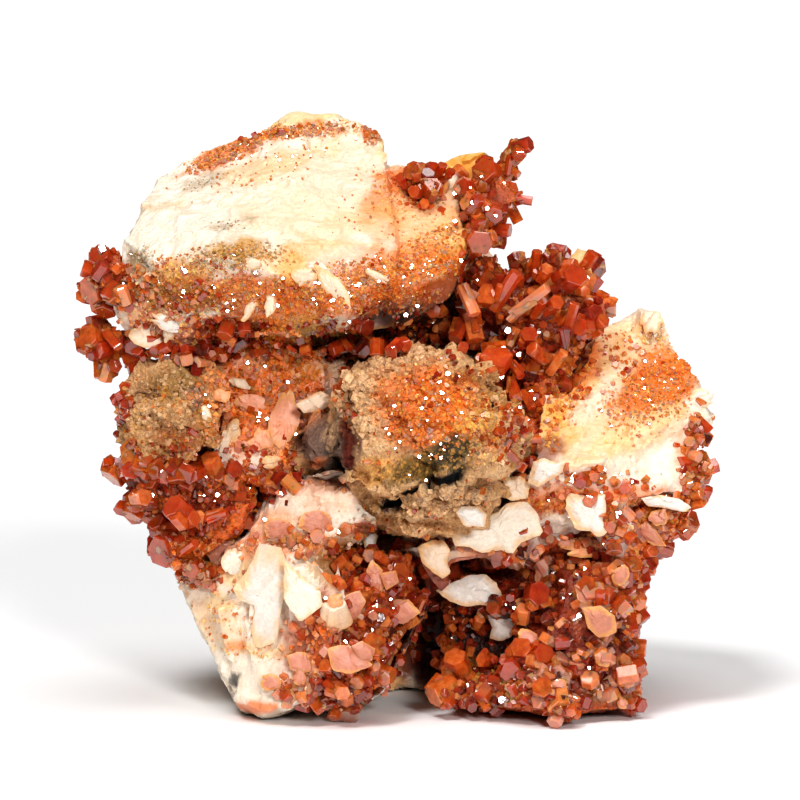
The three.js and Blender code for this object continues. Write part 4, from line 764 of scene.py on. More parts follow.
# Smaller ragged flakes: column, row, half width, half height, turn, how far they stand out in
# millimetres, and colour.
FLAKES = [
    (306, 276, 12, 10, 20, 1.2, CREAM), (254, 264, 8, 5, 0, 0.8, CREAM),
    (300, 338, 10, 6, 30, 1.0, GOLD), (270, 304, 6, 13, 12, 1.6, CREAM),
    (250, 310, 5, 13, 30, 1.4, CREAM), (166, 322, 15, 7, 24, 1.2, CHALK),
    (170, 332, 5, 12, 30, 1.4, CREAM), (375, 275, 13, 4, 28, 0.9, CREAM),
    (234, 562, 12, 12, 0, 0.8, MILK), (206, 414, 5, 9, -10, 0.6, CREAM),
    (233, 430, 8, 12, 10, 1.0, CREAM), (222, 396, 9, 7, 0, 1.0, PEACH),
    (700, 400, 14, 12, 30, 0.8, MILK), (652, 322, 12, 13, 0, 1.0, CREAM),
    (250, 402, 18, 9, 10, 0.8, SALMON), (284, 420, 15, 26, 10, 1.2, SALMON),
    (262, 440, 12, 12, 0, 1.0, SALMON), (243, 384, 16, 5, 15, 0.8, CREAM),
    (226, 440, 6, 12, 20, 0.8, CREAM), (272, 462, 9, 8, 0, 1.4, TAN), (318, 522, 18, 11, 0, 1.0, BLUSH),
    (280, 530, 16, 12, 0, 1.0, BLUSH), (150, 338, 20, 10, 10, 1.0, CREAM),
    (110, 326, 14, 8, 40, 0.8, CREAM), (385, 312, 22, 14, -30, 1.2, MAUVE),
    (543, 575, 11, 10, 30, 1.6, BLUSH), (532, 560, 8, 7, 0, 1.4, BLUSH),
    (620, 575, 9, 10, 0, 1.4, BLUSH), (522, 602, 7, 5, 0, 1.4, BLUSH),
    (530, 638, 12, 9, 20, 1.8, BLUSH), (546, 645, 8, 8, 0, 1.8, BLUSH),
    (513, 655, 9, 8, 30, 1.6, BLUSH), (627, 682, 7, 7, 0, 1.4, BLUSH), (560, 684, 8, 7, 0, 1.4, BLUSH),
    (622, 702, 6, 6, 0, 1.2, BLUSH), (660, 517, 10, 9, 0, 1.4, BLUSH),
    (590, 548, 26, 10, 0, 1.0, PEACH), (565, 540, 10, 8, 0, 1.4, BLUSH),
    (335, 600, 8, 8, 0, 1.8, PEACH), (300, 677, 8, 7, 0, 1.4, BLUSH), (272, 682, 10, 9, 0, 1.2, BLUSH),
]
# Where small crystals lie so that a face of each mirrors a light: column, row, half width, half
# height, turn, how many, smallest and largest radius, and how far they stand out, in millimetres.
GLINTS = [
    (300, 300, 150, 26, 0, 46, 0.14, 0.32, 0), (390, 272, 84, 16, -8, 16, 0.12, 0.24, 0),
    (300, 150, 90, 24, -15, 12, 0.1, 0.2, 0), (410, 330, 90, 26, 0, 26, 0.16, 0.36, 0.3),
    (500, 310, 46, 60, 0, 30, 0.14, 0.5, 1.0), (520, 385, 22, 46, 10, 14, 0.14, 0.46, 0.7),
    (262, 400, 60, 46, 0, 18, 0.14, 0.3, 0.2), (425, 430, 50, 50, 0, 34, 0.12, 0.3, 0),
    (190, 500, 62, 40, 15, 20, 0.12, 0.4, 0.7), (640, 380, 60, 40, -38, 14, 0.1, 0.22, 0),
    (590, 600, 70, 80, 0, 24, 0.12, 0.34, 0.7), (380, 600, 46, 56, 0, 16, 0.12, 0.34, 0.6),
    (560, 490, 90, 20, 0, 14, 0.14, 0.3, 0.3), (475, 190, 34, 26, 0, 10, 0.2, 0.4, 0.6),
]
# Seams between the masses, packed with crystals: the two ends, how far off the lips of the seam are,
# how many, smallest and largest radius in millimetres, and tone.
SEAMS = [
    ((136, 352), (215, 356), 13, 30, 0.4, 1.0, 0.35), ((205, 354), (240, 350), 13, 10, 0.35, 0.9, 0.3),
    ((240, 352), (340, 352), 13, 60, 0.15, 0.45, 0.68),
    ((330, 350), (400, 345), 12, 14, 0.4, 1.0, 0.35), ((118, 466), (235, 476), 12, 34, 0.5, 1.3, 0.45),
    ((228, 474), (300, 484), 12, 16, 0.4, 1.0, 0.5), ((505, 462), (700, 502), 12, 30, 0.3, 0.8, 0.55),
    ((338, 372), (352, 420), 10, 10, 0.4, 0.8, 0.5),
]
# The hidden side: how many crystals, grains of druse and plates are thrown at the stone from all
# round, and what they are like. Radii are in millimetres, and lengths in radii.
ROUND_COUNT = 4600
ROUND_DRUSE = 2200
ROUND_FLAKES = 120
ROUND_RADIUS = (0.25, 1.1)
ROUND_LENGTH = (1.2, 3.0)
ROUND_JUMBLE = 1.3
ROUND_TONE = 0.5
ROUND_DUST_AND_SHEEN = 0.7
ROUND_GRAINS = (0.15, 0.6, (ORANGE, RUST, CORAL))


class Heap:
    """Crystals gathered for one piece, with each face's tone and share of dust and painted sheen."""

    def __init__(self):
        self.points = []
        self.faces = []
        self.tone = []
        self.bloom = []
        self.count = 0

    def add(self, points, groups):
        """Points, and groups of faces with their tones and their shares of dust and painted sheen."""
        for faces, tone, bloom in groups:
            self.faces.extend((faces + self.count).tolist())
            self.tone.append(np.broadcast_to(tone, len(faces)))
            self.bloom.append(np.broadcast_to(bloom, len(faces)))
        self.points.append(points)
        self.count += len(points)

    def mesh(self, name, material):
        mesh = bpy.data.meshes.new(name)
        mesh.from_pydata(np.concatenate(self.points).tolist(), [], self.faces)
        mesh.materials.append(material)
        for title, values in (("tone", self.tone), ("bloom", self.bloom)):
            attribute = mesh.attributes.new(title, "FLOAT", "FACE")
            attribute.data.foreach_set("value", np.concatenate(values).astype(np.float32))
        mesh.update()
        return mesh


SIDES = 6
SIDE_TURN = math.pi / 3
SIX = np.arange(SIDES)
NEXT = np.roll(SIX, -1)
# How much of a crystal's pale dust and painted sheen lies on its sides, its edges and its ends.
SIDE_DUST_AND_SHEEN = 0.45
EDGE_DUST_AND_SHEEN = 1.0
CAP_DUST_AND_SHEEN = 0.85


def hexagons(count, uneven, random):
    """Six corners of uneven hexagons whose sides keep the crystal's angles."""
    distance = 1 - uneven * random.random((count, SIDES))
    angle = SIX * math.pi / 3
    after = angle + SIDE_TURN
    following = np.roll(distance, -1, axis=1)
    across = distance * np.sin(after) - following * np.sin(angle)
    up = following * np.cos(angle) - distance * np.cos(after)
    return np.stack([across, up], axis=2) / math.sin(SIDE_TURN)


# An axis that leans up more than this needs another helper than the upright one.
STEEP = 0.9
UPRIGHT = [[0.0, 0.0, 1.0]]
LEVEL = [[1.0, 0.0, 0.0]]


def cross_frames(axes, spins):
    """Each axis with two directions square to it and to each other, turned by the spin."""
    axes = axes / np.linalg.norm(axes, axis=1, keepdims=True)
    helper = np.where(np.abs(axes[:, 2:3]) < STEEP, UPRIGHT, LEVEL)
    first = np.cross(helper, axes)
    first /= np.linalg.norm(first, axis=1, keepdims=True)
    second = np.cross(axes, first)
    cosine = np.cos(spins)[:, None]
    sine = np.sin(spins)[:, None]
    return axes, cosine * first + sine * second, cosine * second - sine * first


def add_prisms(heap, centres, axes, radii, lengths, spins, tones, dust_and_sheen, random, chamfer=0.0, uneven=0.2):
    """Hexagonal prisms, with a narrow chamfer round both ends where one is asked for."""
    count = len(centres)
    if count == 0:
        return
    axes, first, second = cross_frames(axes, spins)
    corners = hexagons(count, uneven, random)
    half = lengths / 2
    levels = [(-half, 1.0), (half, 1.0)]
    if chamfer:
        cut = chamfer * radii
        levels = [(-half, 1 - chamfer), (cut - half, 1.0), (half - cut, 1.0), (half, 1 - chamfer)]
    rings = []
    for height, share in levels:
        flat = corners * (radii * share)[:, None, None]
        ring = flat[:, :, :1] * first[:, None, :] + flat[:, :, 1:] * second[:, None, :]
        rings.append(ring + (centres + height[:, None] * axes)[:, None, :])
    points = np.stack(rings, axis=1).reshape(-1, 3)
    per = SIDES * len(levels)
    starts = (np.arange(count) * per)[:, None, None]
    groups = []
    for level in range(len(levels) - 1):
        low = level * SIDES
        high = low + SIDES
        quads = np.stack([SIX + low, NEXT + low, NEXT + high, SIX + high], axis=1)
        # Ends and edges take more of the pale colour, partly dust and partly painted sheen.
        bloom = EDGE_DUST_AND_SHEEN if chamfer and level != 1 else SIDE_DUST_AND_SHEEN
        groups.append(((quads[None] + starts).reshape(-1, 4), np.repeat(tones, SIDES), dust_and_sheen * bloom))
    caps = np.stack([SIX[::-1], SIX + per - SIDES])
    groups.append(((caps[None] + starts).reshape(-1, SIDES), np.repeat(tones, 2), dust_and_sheen * CAP_DUST_AND_SHEEN))
    heap.add(points, groups)


def add_object(name, data):
    """A new object in the scene."""
    added = bpy.data.objects.new(name, data)
    bpy.context.scene.collection.objects.link(added)
    return added


def values_of(items, title, width, kind=float):
    """A value of every item, in rows of that width."""
    values = np.zeros(len(items) * width, kind)
    items.foreach_get(title, values)
    return values.reshape(-1, width)


def fine_copy(node, voxel):
    """The solid's points, their normals and its faces on an even fine grid."""
    copy = add_object(node + "_fine", NODES[node].data.copy())
    remesh = copy.modifiers.new("fine", "REMESH")
    remesh.mode = "VOXEL"
    remesh.voxel_size = voxel * MM
    remesh.adaptivity = 0
    evaluated = copy.evaluated_get(bpy.context.evaluated_depsgraph_get())
    mesh = evaluated.to_mesh()
    points = values_of(mesh.vertices, "co", 3)
    normals = values_of(mesh.vertices, "normal", 3)
    quads = values_of(mesh.loops, "vertex_index", 1, np.int32).reshape(-1, 4)
    evaluated.to_mesh_clear()
    bpy.data.objects.remove(copy)
    return points, normals, quads


def keep_on_ground(points):
    """Nothing reaches under the ground."""
    points[:, 2] = np.maximum(points[:, 2], 0.0)
    return points


# Hubs that the barite's blades fan out from, the heart of what each rules, and how far it rules.
BLADE_HUBS = [
    (spot(225, 285, 0), spot(300, 200, 0), 26 * MM),
    (spot(540, 470, 0), spot(650, 400, 0), 20 * MM),
    (spot(275, 470, 0), spot(265, 620, -8), 22 * MM),
]
FAN_RADIUS = 22 * MM
FAN_STRETCH = 0.15
NEVER_ZERO = 1e-9


def fanned(points):
    """The points' places squeezed along the blades, so that noise over them is drawn out in streaks."""
    claims = np.stack([np.linalg.norm(points - heart, axis=1) / reach for _, heart, reach in BLADE_HUBS])
    ruler = claims.argmin(axis=0)
    away = points - np.array([hub for hub, _, _ in BLADE_HUBS])[ruler]
    distance = np.linalg.norm(away, axis=1, keepdims=True) + NEVER_ZERO
    return away / distance * FAN_RADIUS + FAN_STRETCH * away


# Relief: the height and the size of each layer in millimetres, and its seed. A sink lowers the whole.
SPAR_SWELLS = (0.8, 8, 11, 2)
SPAR_SINK = 0.25
SPAR_FACES = (0.28, 3.6, 12)
SPAR_BACK_HEIGHT = 0.9
SPAR_BACK_FACES = (6.5, 17)
SPAR_FINE_FACES = (0.08, 1.1, 15)
ROCK_CRAG_HEIGHT = 1.7
ROCK_CRAGS = (4.5, 22, 4)
ROCK_CRAG_SINK = 1.0
ROCK_SWELLS = (0.9, 9, 24)
ROCK_PEBBLES = (1.3, 21)
ROCK_PEBBLE_ROUND = 0.4
ROCK_PEBBLE_REACH = 0.55
ROCK_PEBBLE_LIFT = 0.35
ROCK_LARGE_FACES = (1.1, 7.0, 25)
ROCK_SMALL_FACES = (0.45, 2.6, 23)
ROCK_SINK = 0.2
CRUST_SWELLS = (0.35, 5, 28)
CRUST_FACES = (0.2, 2.2, 26)
CRUST_FINE_FACES = (0.15, 1.0, 27)
CRUST_SINK = 0.8
# How far behind the middle plane the back's own relief and stains are whole.
BACK_DEPTH = 6 * MM


def barite_relief(points):
    """Swells and broken faces drawn out along the blades, with larger ones behind."""
    streaks = fanned(points)
    relief = swells(points, *SPAR_SWELLS) - SPAR_SINK
    relief += broken(streaks, *SPAR_FACES)
    behind = smoothstep(0.0, BACK_DEPTH, points @ FORWARD)
    relief += broken(streaks, behind * SPAR_BACK_HEIGHT, *SPAR_BACK_FACES)
    return relief + broken(streaks, *SPAR_FINE_FACES)


def rock_relief(points):
    """Sharp crags and pebbles, with broken faces of two sizes."""
    nearest, own, _ = grains(points, *ROCK_PEBBLES)
    crags = 1 - 2 * np.abs(rough_noise(points, *ROCK_CRAGS))
    relief = ROCK_CRAG_HEIGHT * crags - ROCK_CRAG_SINK + swells(points, *ROCK_SWELLS)
    relief += ROCK_PEBBLE_ROUND * (ROCK_PEBBLE_REACH - nearest) + ROCK_PEBBLE_LIFT * (own - 0.5)
    relief += broken(points, *ROCK_LARGE_FACES)
    return relief + broken(points, *ROCK_SMALL_FACES) - ROCK_SINK


def crust_relief(points):
    """Kept low, so that the crystals that stand in the crust stay clear of it."""
    relief = swells(points, *CRUST_SWELLS) + broken(points, *CRUST_FACES)
    return relief + broken(points, *CRUST_FINE_FACES) - CRUST_SINK


def surface(node, voxel, relief):
    """A node's fine surface, roughened along its own outward direction and hollowed."""
    points, normals, quads = fine_copy(node, voxel)
    stand = relief(points) - VUG_DEPTH * vugs(points, normals)
    moved = points + normals * (stand * MM)[:, None]
    return keep_on_ground(hollowed(moved, normals)), normals, quads


# The noise of the base colours: size in millimetres and seed, the range that its colour rises over,
# and the strength of the colour.
SPAR_STREAKS = (1.6, 31)
STREAK_RISE = (0.0, 0.7)
STREAK_STRENGTH = 0.7
SPAR_CREAM = (8, 38)
CREAM_RISE = (-0.3, 0.3)
CREAM_STRENGTH = 0.7
SPAR_STAINS = (11, 35)
STAIN_RISE = (-0.05, 0.4)
STAIN_STRENGTH = 0.8
ROCK_MOTTLE = (2.2, 41)
MOTTLE_RISE = (-0.5, 0.6)
MOTTLE_STRENGTH = 0.7
CRUST_MOTTLE = (4, 28)
RUST_RISE = (-0.6, 0.1)
ORANGE_RISE = (0.0, 0.6)


def spar_base(points):
    """Milky, with cream streaks along the blades, and stained in patches behind."""
    streaks = rough_noise(fanned(points), *SPAR_STREAKS)[:, None]
    creamier = smoothstep(*STREAK_RISE, streaks) * STREAK_STRENGTH
    color = np.array(MILK) + creamier * (np.array(CREAM) - MILK)
    hidden = smoothstep(0.0, BACK_DEPTH, points @ FORWARD)
    creamy = smoothstep(*CREAM_RISE, rough_noise(points, *SPAR_CREAM)) * hidden
    color += CREAM_STRENGTH * creamy[:, None] * (np.array(CREAM) - color)
    stained = smoothstep(*STAIN_RISE, rough_noise(points, *SPAR_STAINS)) * hidden
    return color + STAIN_STRENGTH * stained[:, None] * (np.array(HONEY) - color)


def rock_base(points):
    """Mottled from khaki to tan."""
    rough = rough_noise(points, *ROCK_MOTTLE)[:, None]
    return np.array(KHAKI) + smoothstep(*MOTTLE_RISE, rough) * (np.array(TAN) - KHAKI) * MOTTLE_STRENGTH


def crust_base(points):
    """Mottled at random from dark red to orange."""
    rough = rough_noise(points, *CRUST_MOTTLE)[:, None]
    color = np.array(EMBER) + smoothstep(*RUST_RISE, rough) * (np.array(RUST) - EMBER)
    return color + smoothstep(*ORANGE_RISE, rough) * (np.array(ORANGE) - color)


def triangles_of(quads):
    return np.concatenate([quads[:, [0, 1, 2]], quads[:, [0, 2, 3]]])


SIGHT_MARGIN = 1.0 * MM
NO_AREA = 1e-20


class Ground:
    """All the surfaces that crystals can grow on, and what each face belongs to."""

    def __init__(self, surfaces, paints):
        self.names = list(surfaces)
        self.paint = np.concatenate([paints[name] for name in self.names])
        points = []
        faces = []
        self.owner = []
        base = 0
        for number, name in enumerate(self.names):
            own_points, _, quads = surfaces[name]
            triangles = triangles_of(quads)
            points.append(own_points)
            faces.append(triangles + base)
            self.owner.append(np.full(len(triangles), number))
            base += len(own_points)
        self.points = np.concatenate(points)
        self.faces = np.concatenate(faces)
        self.owner = np.concatenate(self.owner)
        self.tree = BVHTree.FromPolygons(self.points.tolist(), self.faces.tolist())
        first, second, third = (self.points[self.faces[:, k]] for k in range(3))
        cross = np.cross(second - first, third - first)
        self.area = np.linalg.norm(cross, axis=1) / 2
        self.normal = cross / (2 * self.area[:, None] + NO_AREA)

    def hit(self, origin, direction):
        """Where a ray lands: the place, its normal, the name of what it hits, and its colour."""
        place, _, face, _ = self.tree.ray_cast(Vector(origin), Vector(direction).normalized())
        if place is None:
            return None
        return np.array(place), *self.kept(face)

    def kept(self, face):
        """A face's normal, the name of what it belongs to, and its colour."""
        return self.normal[face], self.names[self.owner[face]], self.paint[self.faces[face, 0]]

    def hides(self, origin, place):
        """Whether something stands well in front of a place, seen from the origin."""
        way = Vector(place) - Vector(origin)
        first, _, _, _ = self.tree.ray_cast(Vector(origin), way.normalized())
        return first is not None and (first - Vector(origin)).length < way.length - SIGHT_MARGIN


# How far beyond an ellipse's own reach some of what is thrown at it lands.
THROW_SCATTER = 0.25


def throw(ground, seed, column, row, half_width, half_height, turn, count):
    """Spots where crystals thrown from the camera's side at an ellipse of the photograph land."""
    random = np.random.default_rng(seed)
    reach = np.sqrt(random.random(count)) * (1 + THROW_SCATTER * random.standard_normal(count))
    angle = random.random(count) * 2 * math.pi
    turned = math.radians(turn)
    across = reach * np.cos(angle) * half_width
    along = reach * np.sin(angle) * half_height
    columns = column + across * math.cos(turned) - along * math.sin(turned)
    rows = row + across * math.sin(turned) + along * math.cos(turned)
    landed = [ground.hit(EYE, ray(c, r)) for c, r in zip(columns, rows) if not kept_clear(c, r)]
    return [one for one in landed if one is not None], random


# The crystals and plates of the sides and back: how far over the stone the camera still can't see them,
# the noise and the edge of the patches where they lie, and how strongly they gather everywhere, in the
# stained hollows and on the crust.
FLING_REACH = 1.8 * MM
FLAKE_CLEARANCE = 5 * MM
PATCHES = (14, 61)
PATCH_EDGE = (0.02, 0.35)
GATHER_ANYWHERE = 0.08
GATHER_IN_VUGS = 2.5
GATHER_ON_CRUST = 3.5
# How far back a face of the crust or of the stone must look, how far down it may look, and how high
# above the ground it must lie.
CRUST_LOOKS_BACK = -0.45
STONE_LOOKS_BACK = -0.12
LOOKS_DOWN = -0.75
LOWEST_FACE = 1.5 * MM


def fling(ground, seed, count, reach=FLING_REACH):
    """Spots all round: on crust that doesn't squarely face the camera, and on stone that it can't see."""
    random = np.random.default_rng(seed)
    middle = ground.points[ground.faces].mean(axis=1)
    away = ground.normal @ FORWARD
    red = np.array([name.startswith(RED) for name in ground.names])[ground.owner]
    patches = smoothstep(*PATCH_EDGE, rough_noise(middle, *PATCHES))
    patches = patches + GATHER_IN_VUGS * vugs(middle, ground.normal)
    turned_away = away > np.where(red, CRUST_LOOKS_BACK, STONE_LOOKS_BACK)
    gather = GATHER_ANYWHERE + patches + GATHER_ON_CRUST * red
    weight = ground.area * turned_away * (ground.normal[:, 2] > LOOKS_DOWN) * gather
    weight *= middle[:, 2] > LOWEST_FACE
    chosen = random.choice(len(weight), count, p=weight / weight.sum())
    hidden = [k for k in chosen if red[k] or ground.hides(EYE, middle[k] + reach * ground.normal[k])]
    return [(middle[k], *ground.kept(k)) for k in hidden], random


# Small crystals: how far their axes are jumbled, how far out of the stone their middles lie in their
# own lengths, how strongly the small ones outnumber the large, and how much their tones differ.
JUMBLE_REACH = 2.6
ROOTED = 0.22
SMALL_RULE = 2.2
TONE_SPREAD = 0.2
# Only crystals thicker than this have chamfered ends.
BIG_RADIUS = 0.42 * MM
BIG_CHAMFER = 0.13


def grow(heaps, landed, random, radius, stretch, jumble, tone, dust_and_sheen):
    """Crystals on the spots where they landed, each in the heap of what it landed on."""
    by_name = {}
    for place, normal, name, _ in landed:
        by_name.setdefault(name, []).append((place, normal))
    for name in sorted(by_name):
        places = np.array([place for place, _ in by_name[name]])
        normals = np.array([normal for _, normal in by_name[name]])
        count = len(places)
        radii = (radius[0] + (radius[1] - radius[0]) * random.random(count) ** SMALL_RULE) * MM
        lengths = radii * (stretch[0] + (stretch[1] - stretch[0]) * random.random(count))
        axes = normals + jumble * (random.random((count, 3)) - 0.5) * JUMBLE_REACH
        axes /= np.linalg.norm(axes, axis=1, keepdims=True)
        spins = random.random(count) * math.pi
        tones = np.clip(tone + TONE_SPREAD * random.standard_normal(count), 0, 1)
        centres = places + axes * (lengths * ROOTED)[:, None]
        drop = 0.5 * lengths * np.abs(axes[:, 2]) + radii * np.sqrt(1 - axes[:, 2] ** 2)
        centres[:, 2] = np.maximum(centres[:, 2], drop)
        big = radii > BIG_RADIUS
        for chosen, chamfer in ((big, BIG_CHAMFER), (~big, 0.0)):
            add_prisms(heaps[name], centres[chosen], axes[chosen], radii[chosen], lengths[chosen],
                       spins[chosen], tones[chosen], dust_and_sheen, random, chamfer)


# How far a grain keeps its own colour rather than that of the place where it lies.
GRAIN_OWN_TINT = 0.6
# The least reach of a grain's corners, and how much more it may be, and its brightness likewise.
GRAIN_REACH = 0.45
GRAIN_REACH_MORE = 0.5
GRAIN_BRIGHT = 0.8
GRAIN_BRIGHT_MORE = 0.35
CUBE_CORNERS = CORNERS * 2.0 - 1.0
CUBE_FACES = np.array([[0, 1, 3, 2], [4, 6, 7, 5], [0, 4, 5, 1], [2, 3, 7, 6], [0, 2, 6, 4], [1, 5, 7, 3]])


def crumbs(landed, random, smallest, largest, tints):
    """Small broken grains on the spots where they landed: points, faces and colours."""
    count = len(landed)
    places = np.array([place for place, _, _, _ in landed])
    beneath = np.array([paint for _, _, _, paint in landed])
    radii = (smallest + (largest - smallest) * random.random(count) ** 2) * MM
    axes, first, second = cross_frames(random.standard_normal((count, 3)), random.random(count) * math.pi)
    corners = len(CUBE_CORNERS)
    rough = CUBE_CORNERS[None] * (GRAIN_REACH + GRAIN_REACH_MORE * random.random((count, corners, 3)))
    turned = rough[:, :, :1] * first[:, None] + rough[:, :, 1:2] * second[:, None]
    turned = turned + rough[:, :, 2:] * axes[:, None]
    points = (places[:, None] + turned * radii[:, None, None]).reshape(-1, 3)
    faces = (CUBE_FACES[None] + corners * np.arange(count)[:, None, None]).reshape(-1, 4)
    shade = GRAIN_BRIGHT + GRAIN_BRIGHT_MORE * random.random((count, 1))
    own = np.array(tints)[np.arange(count) % len(tints)]
    colors = (beneath + GRAIN_OWN_TINT * (own - beneath)) * shade
    return keep_on_ground(points), faces, np.repeat(colors, corners, axis=0)


FLAKE_SPOKES = 36
FLAKE_TIPS = 13
# From the middle of a plate to its root: how far out each ring lies, and how high it stands.
FLAKE_SHARES = [0.12, 0.3, 0.48, 0.66, 0.84, 1.0, 0.93, 0.6]
FLAKE_RISE = [1.0, 1.0, 0.99, 0.95, 0.88, 0.8, 0.5]
FLAKE_ROOT = 2.2
# How ragged a plate's outline is, how much it wobbles from ring to ring, and how much the plate leans.
FLAKE_RAGGED = (0.68, 1.25)
FLAKE_WOBBLE = (0.96, 1.03)
FLAKE_LEAN = 0.12
# The relief of a plate: height and size in millimetres, seed and octaves of each layer.
FLAKE_FACES = (0.16, 2.0, 33)
FLAKE_GRIT = (0.08, 0.9, 34)
FLAKE_SWELLS = (0.35, 4.0, 37, 2)
# How the rim of a plate is stained: how ragged that is with its noise, how far out it is, and its
# strength.
RIM_NOISE = (0.4, 2.5, 36)
RIM_RISE = (0.72, 1.0)
RIM_STRENGTH = 0.6


def ragged_ellipse(random, half_width, half_height, turn):
    """Points on a ragged ellipse round a flake's middle, in the photograph's units."""
    angle = math.radians(turn)
    spokes = np.arange(FLAKE_SPOKES) * 2 * math.pi / FLAKE_SPOKES
    tips = np.sort(random.random(FLAKE_TIPS)) * 2 * math.pi
    reach = np.interp(spokes, tips, random.uniform(*FLAKE_RAGGED, FLAKE_TIPS), period=2 * math.pi)
    across = reach * half_width * np.cos(spokes)
    along = reach * half_height * np.sin(spokes)
    return np.stack([across * math.cos(angle) - along * math.sin(angle),
                     across * math.sin(angle) + along * math.cos(angle)], axis=1)


def drawn_outline(corners, middle):
    """Points evenly round a plate's outline, from its corners, in the photograph's units."""
    closed = np.array([*corners, corners[0]], float) - middle
    walked = np.concatenate([[0], np.cumsum(np.hypot(*np.diff(closed, axis=0).T))])
    along = np.linspace(0, walked[-1], FLAKE_SPOKES, endpoint=False)
    return np.stack([np.interp(along, walked, closed[:, k]) for k in range(2)], axis=1)


def flake(place, random, outline, stand, tint, across=RIGHT, up=UP, out=-FORWARD):
    """A thin plate that grows out of the surface: points, faces and colours."""
    lean = random.normal(0, FLAKE_LEAN, 2)
    rough = outline * random.uniform(*FLAKE_WOBBLE, FLAKE_SPOKES)[:, None]
    rings = []
    for share, rise in zip(FLAKE_SHARES, [stand * share for share in FLAKE_RISE] + [-FLAKE_ROOT]):
        sideways = rough * share / UNITS_PER_MM
        height = rise + sideways @ lean
        ring = sideways[:, :1] * across - sideways[:, 1:] * up + height[:, None] * out
        rings.append(place + ring * MM)
    points = np.concatenate(rings)
    relief = broken(fanned(points), *FLAKE_FACES) + swells(points, *FLAKE_GRIT)
    relief += swells(points, *FLAKE_SWELLS)
    points = points + (relief * MM)[:, None] * out
    spoke = np.arange(FLAKE_SPOKES)
    after = np.roll(spoke, -1)
    faces = []
    for low in range(0, len(points) - FLAKE_SPOKES, FLAKE_SPOKES):
        high = low + FLAKE_SPOKES
        faces += np.stack([spoke + low, after + low, after + high, spoke + high], axis=1).tolist()
    faces += [spoke[::-1].tolist(), (spoke + len(points) - FLAKE_SPOKES).tolist()]
    edge = np.repeat(np.array(FLAKE_SHARES), FLAKE_SPOKES)
    stained = smoothstep(*RIM_RISE, edge + swells(points, *RIM_NOISE)) * RIM_STRENGTH
    colors = np.array(tint) + stained[:, None] * (np.array(HONEY) - tint)
    return keep_on_ground(points), faces, colors


FLAKE_SEED = 7
ROUND_FLAKE_SEED = 98
# The plates of the hidden side: half width and half height in the photograph's units, how far they
# stand out in millimetres, and the colours that they take in turn.
ROUND_FLAKE_WIDTH = (14, 40)
ROUND_FLAKE_HEIGHT = (10, 22)
ROUND_FLAKE_STAND = (0.8, 1.8)
ROUND_FLAKE_TINTS = (MILK, CREAM, BLUSH)


def flakes(ground):
    """All the plates and flakes that the photograph shows, and those of the hidden side."""
    random = np.random.default_rng(FLAKE_SEED)
    shapes = []
    for stand, tint, corners in PLATES:
        middle = np.mean(corners, axis=0)
        shapes.append((middle, drawn_outline(corners, middle), stand, tint))
    for column, row, half_width, half_height, turn, stand, tint in FLAKES:
        shapes.append(((column, row), ragged_ellipse(random, half_width, half_height, turn), stand, tint))
    for middle, outline, stand, tint in shapes:
        landed = ground.hit(EYE, ray(*middle))
        if landed:
            yield flake(landed[0], random, outline, stand, tint)
    landed, random = fling(ground, ROUND_FLAKE_SEED, ROUND_FLAKES, FLAKE_CLEARANCE)
    landed = [one for one in landed if one[2].startswith(SPAR)]
    for number, (place, normal, _, _) in enumerate(landed):
        half_width = random.uniform(*ROUND_FLAKE_WIDTH)
        outline = ragged_ellipse(random, half_width, random.uniform(*ROUND_FLAKE_HEIGHT), 0)
        out, across, up = (one[0] for one in cross_frames(normal[None], random.random(1) * math.pi))
        tint = ROUND_FLAKE_TINTS[number % len(ROUND_FLAKE_TINTS)]
        yield flake(place, random, outline, random.uniform(*ROUND_FLAKE_STAND), tint, across, up, out)


def gather(parts):
    """One set of points, faces and colours from many."""
    points = []
    faces = []
    colors = []
    base = 0
    for own_points, own_faces, own_colors in parts:
        points.append(own_points)
        colors.append(own_colors)
        faces.extend([[corner + base for corner in face] for face in own_faces])
        base += len(own_points)
    return np.concatenate(points), faces, np.concatenate(colors)


# Lights: degrees round from the front to the right, degrees up, power, and softness in degrees.
LIGHTS = {
    "key": (-28, 54, 1.5, 14),
    "top": (40, 74, 1.2, 40),
    "front": (14, 20, 1.6, 10),
}


def toward(azimuth, elevation):
    """The direction toward a light: degrees round from the front to the right, and degrees up."""
    around = math.radians(azimuth)
    up = math.radians(elevation)
    return np.array([math.sin(around) * math.cos(up), -math.cos(around) * math.cos(up), math.sin(up)])


def add_prism(heap, centre, axis, radius, length, spin, tone, dust_and_sheen, random, chamfer, uneven):
    """One hexagonal prism."""
    add_prisms(heap, centre[None], axis[None], np.array([radius]), np.array([length]), np.array([spin]),
               np.array([tone]), dust_and_sheen, random, chamfer, uneven)


# The crystals that mirror a light: how far their ends stray from the mirror's place, and how far they
# rise and how long they are in radii.
GLINT_LIGHTS = [LIGHTS["key"][:2], LIGHTS["front"][:2]]
GLINT_STRAY = 0.02
GLINT_RISE = 0.5
GLINT_LENGTH = 2
GLINT_TONE = 0.7
GLINT_DUST_AND_SHEEN = 0.2
GLINT_CHAMFER = 0.1
GLINT_UNEVEN = 0.4


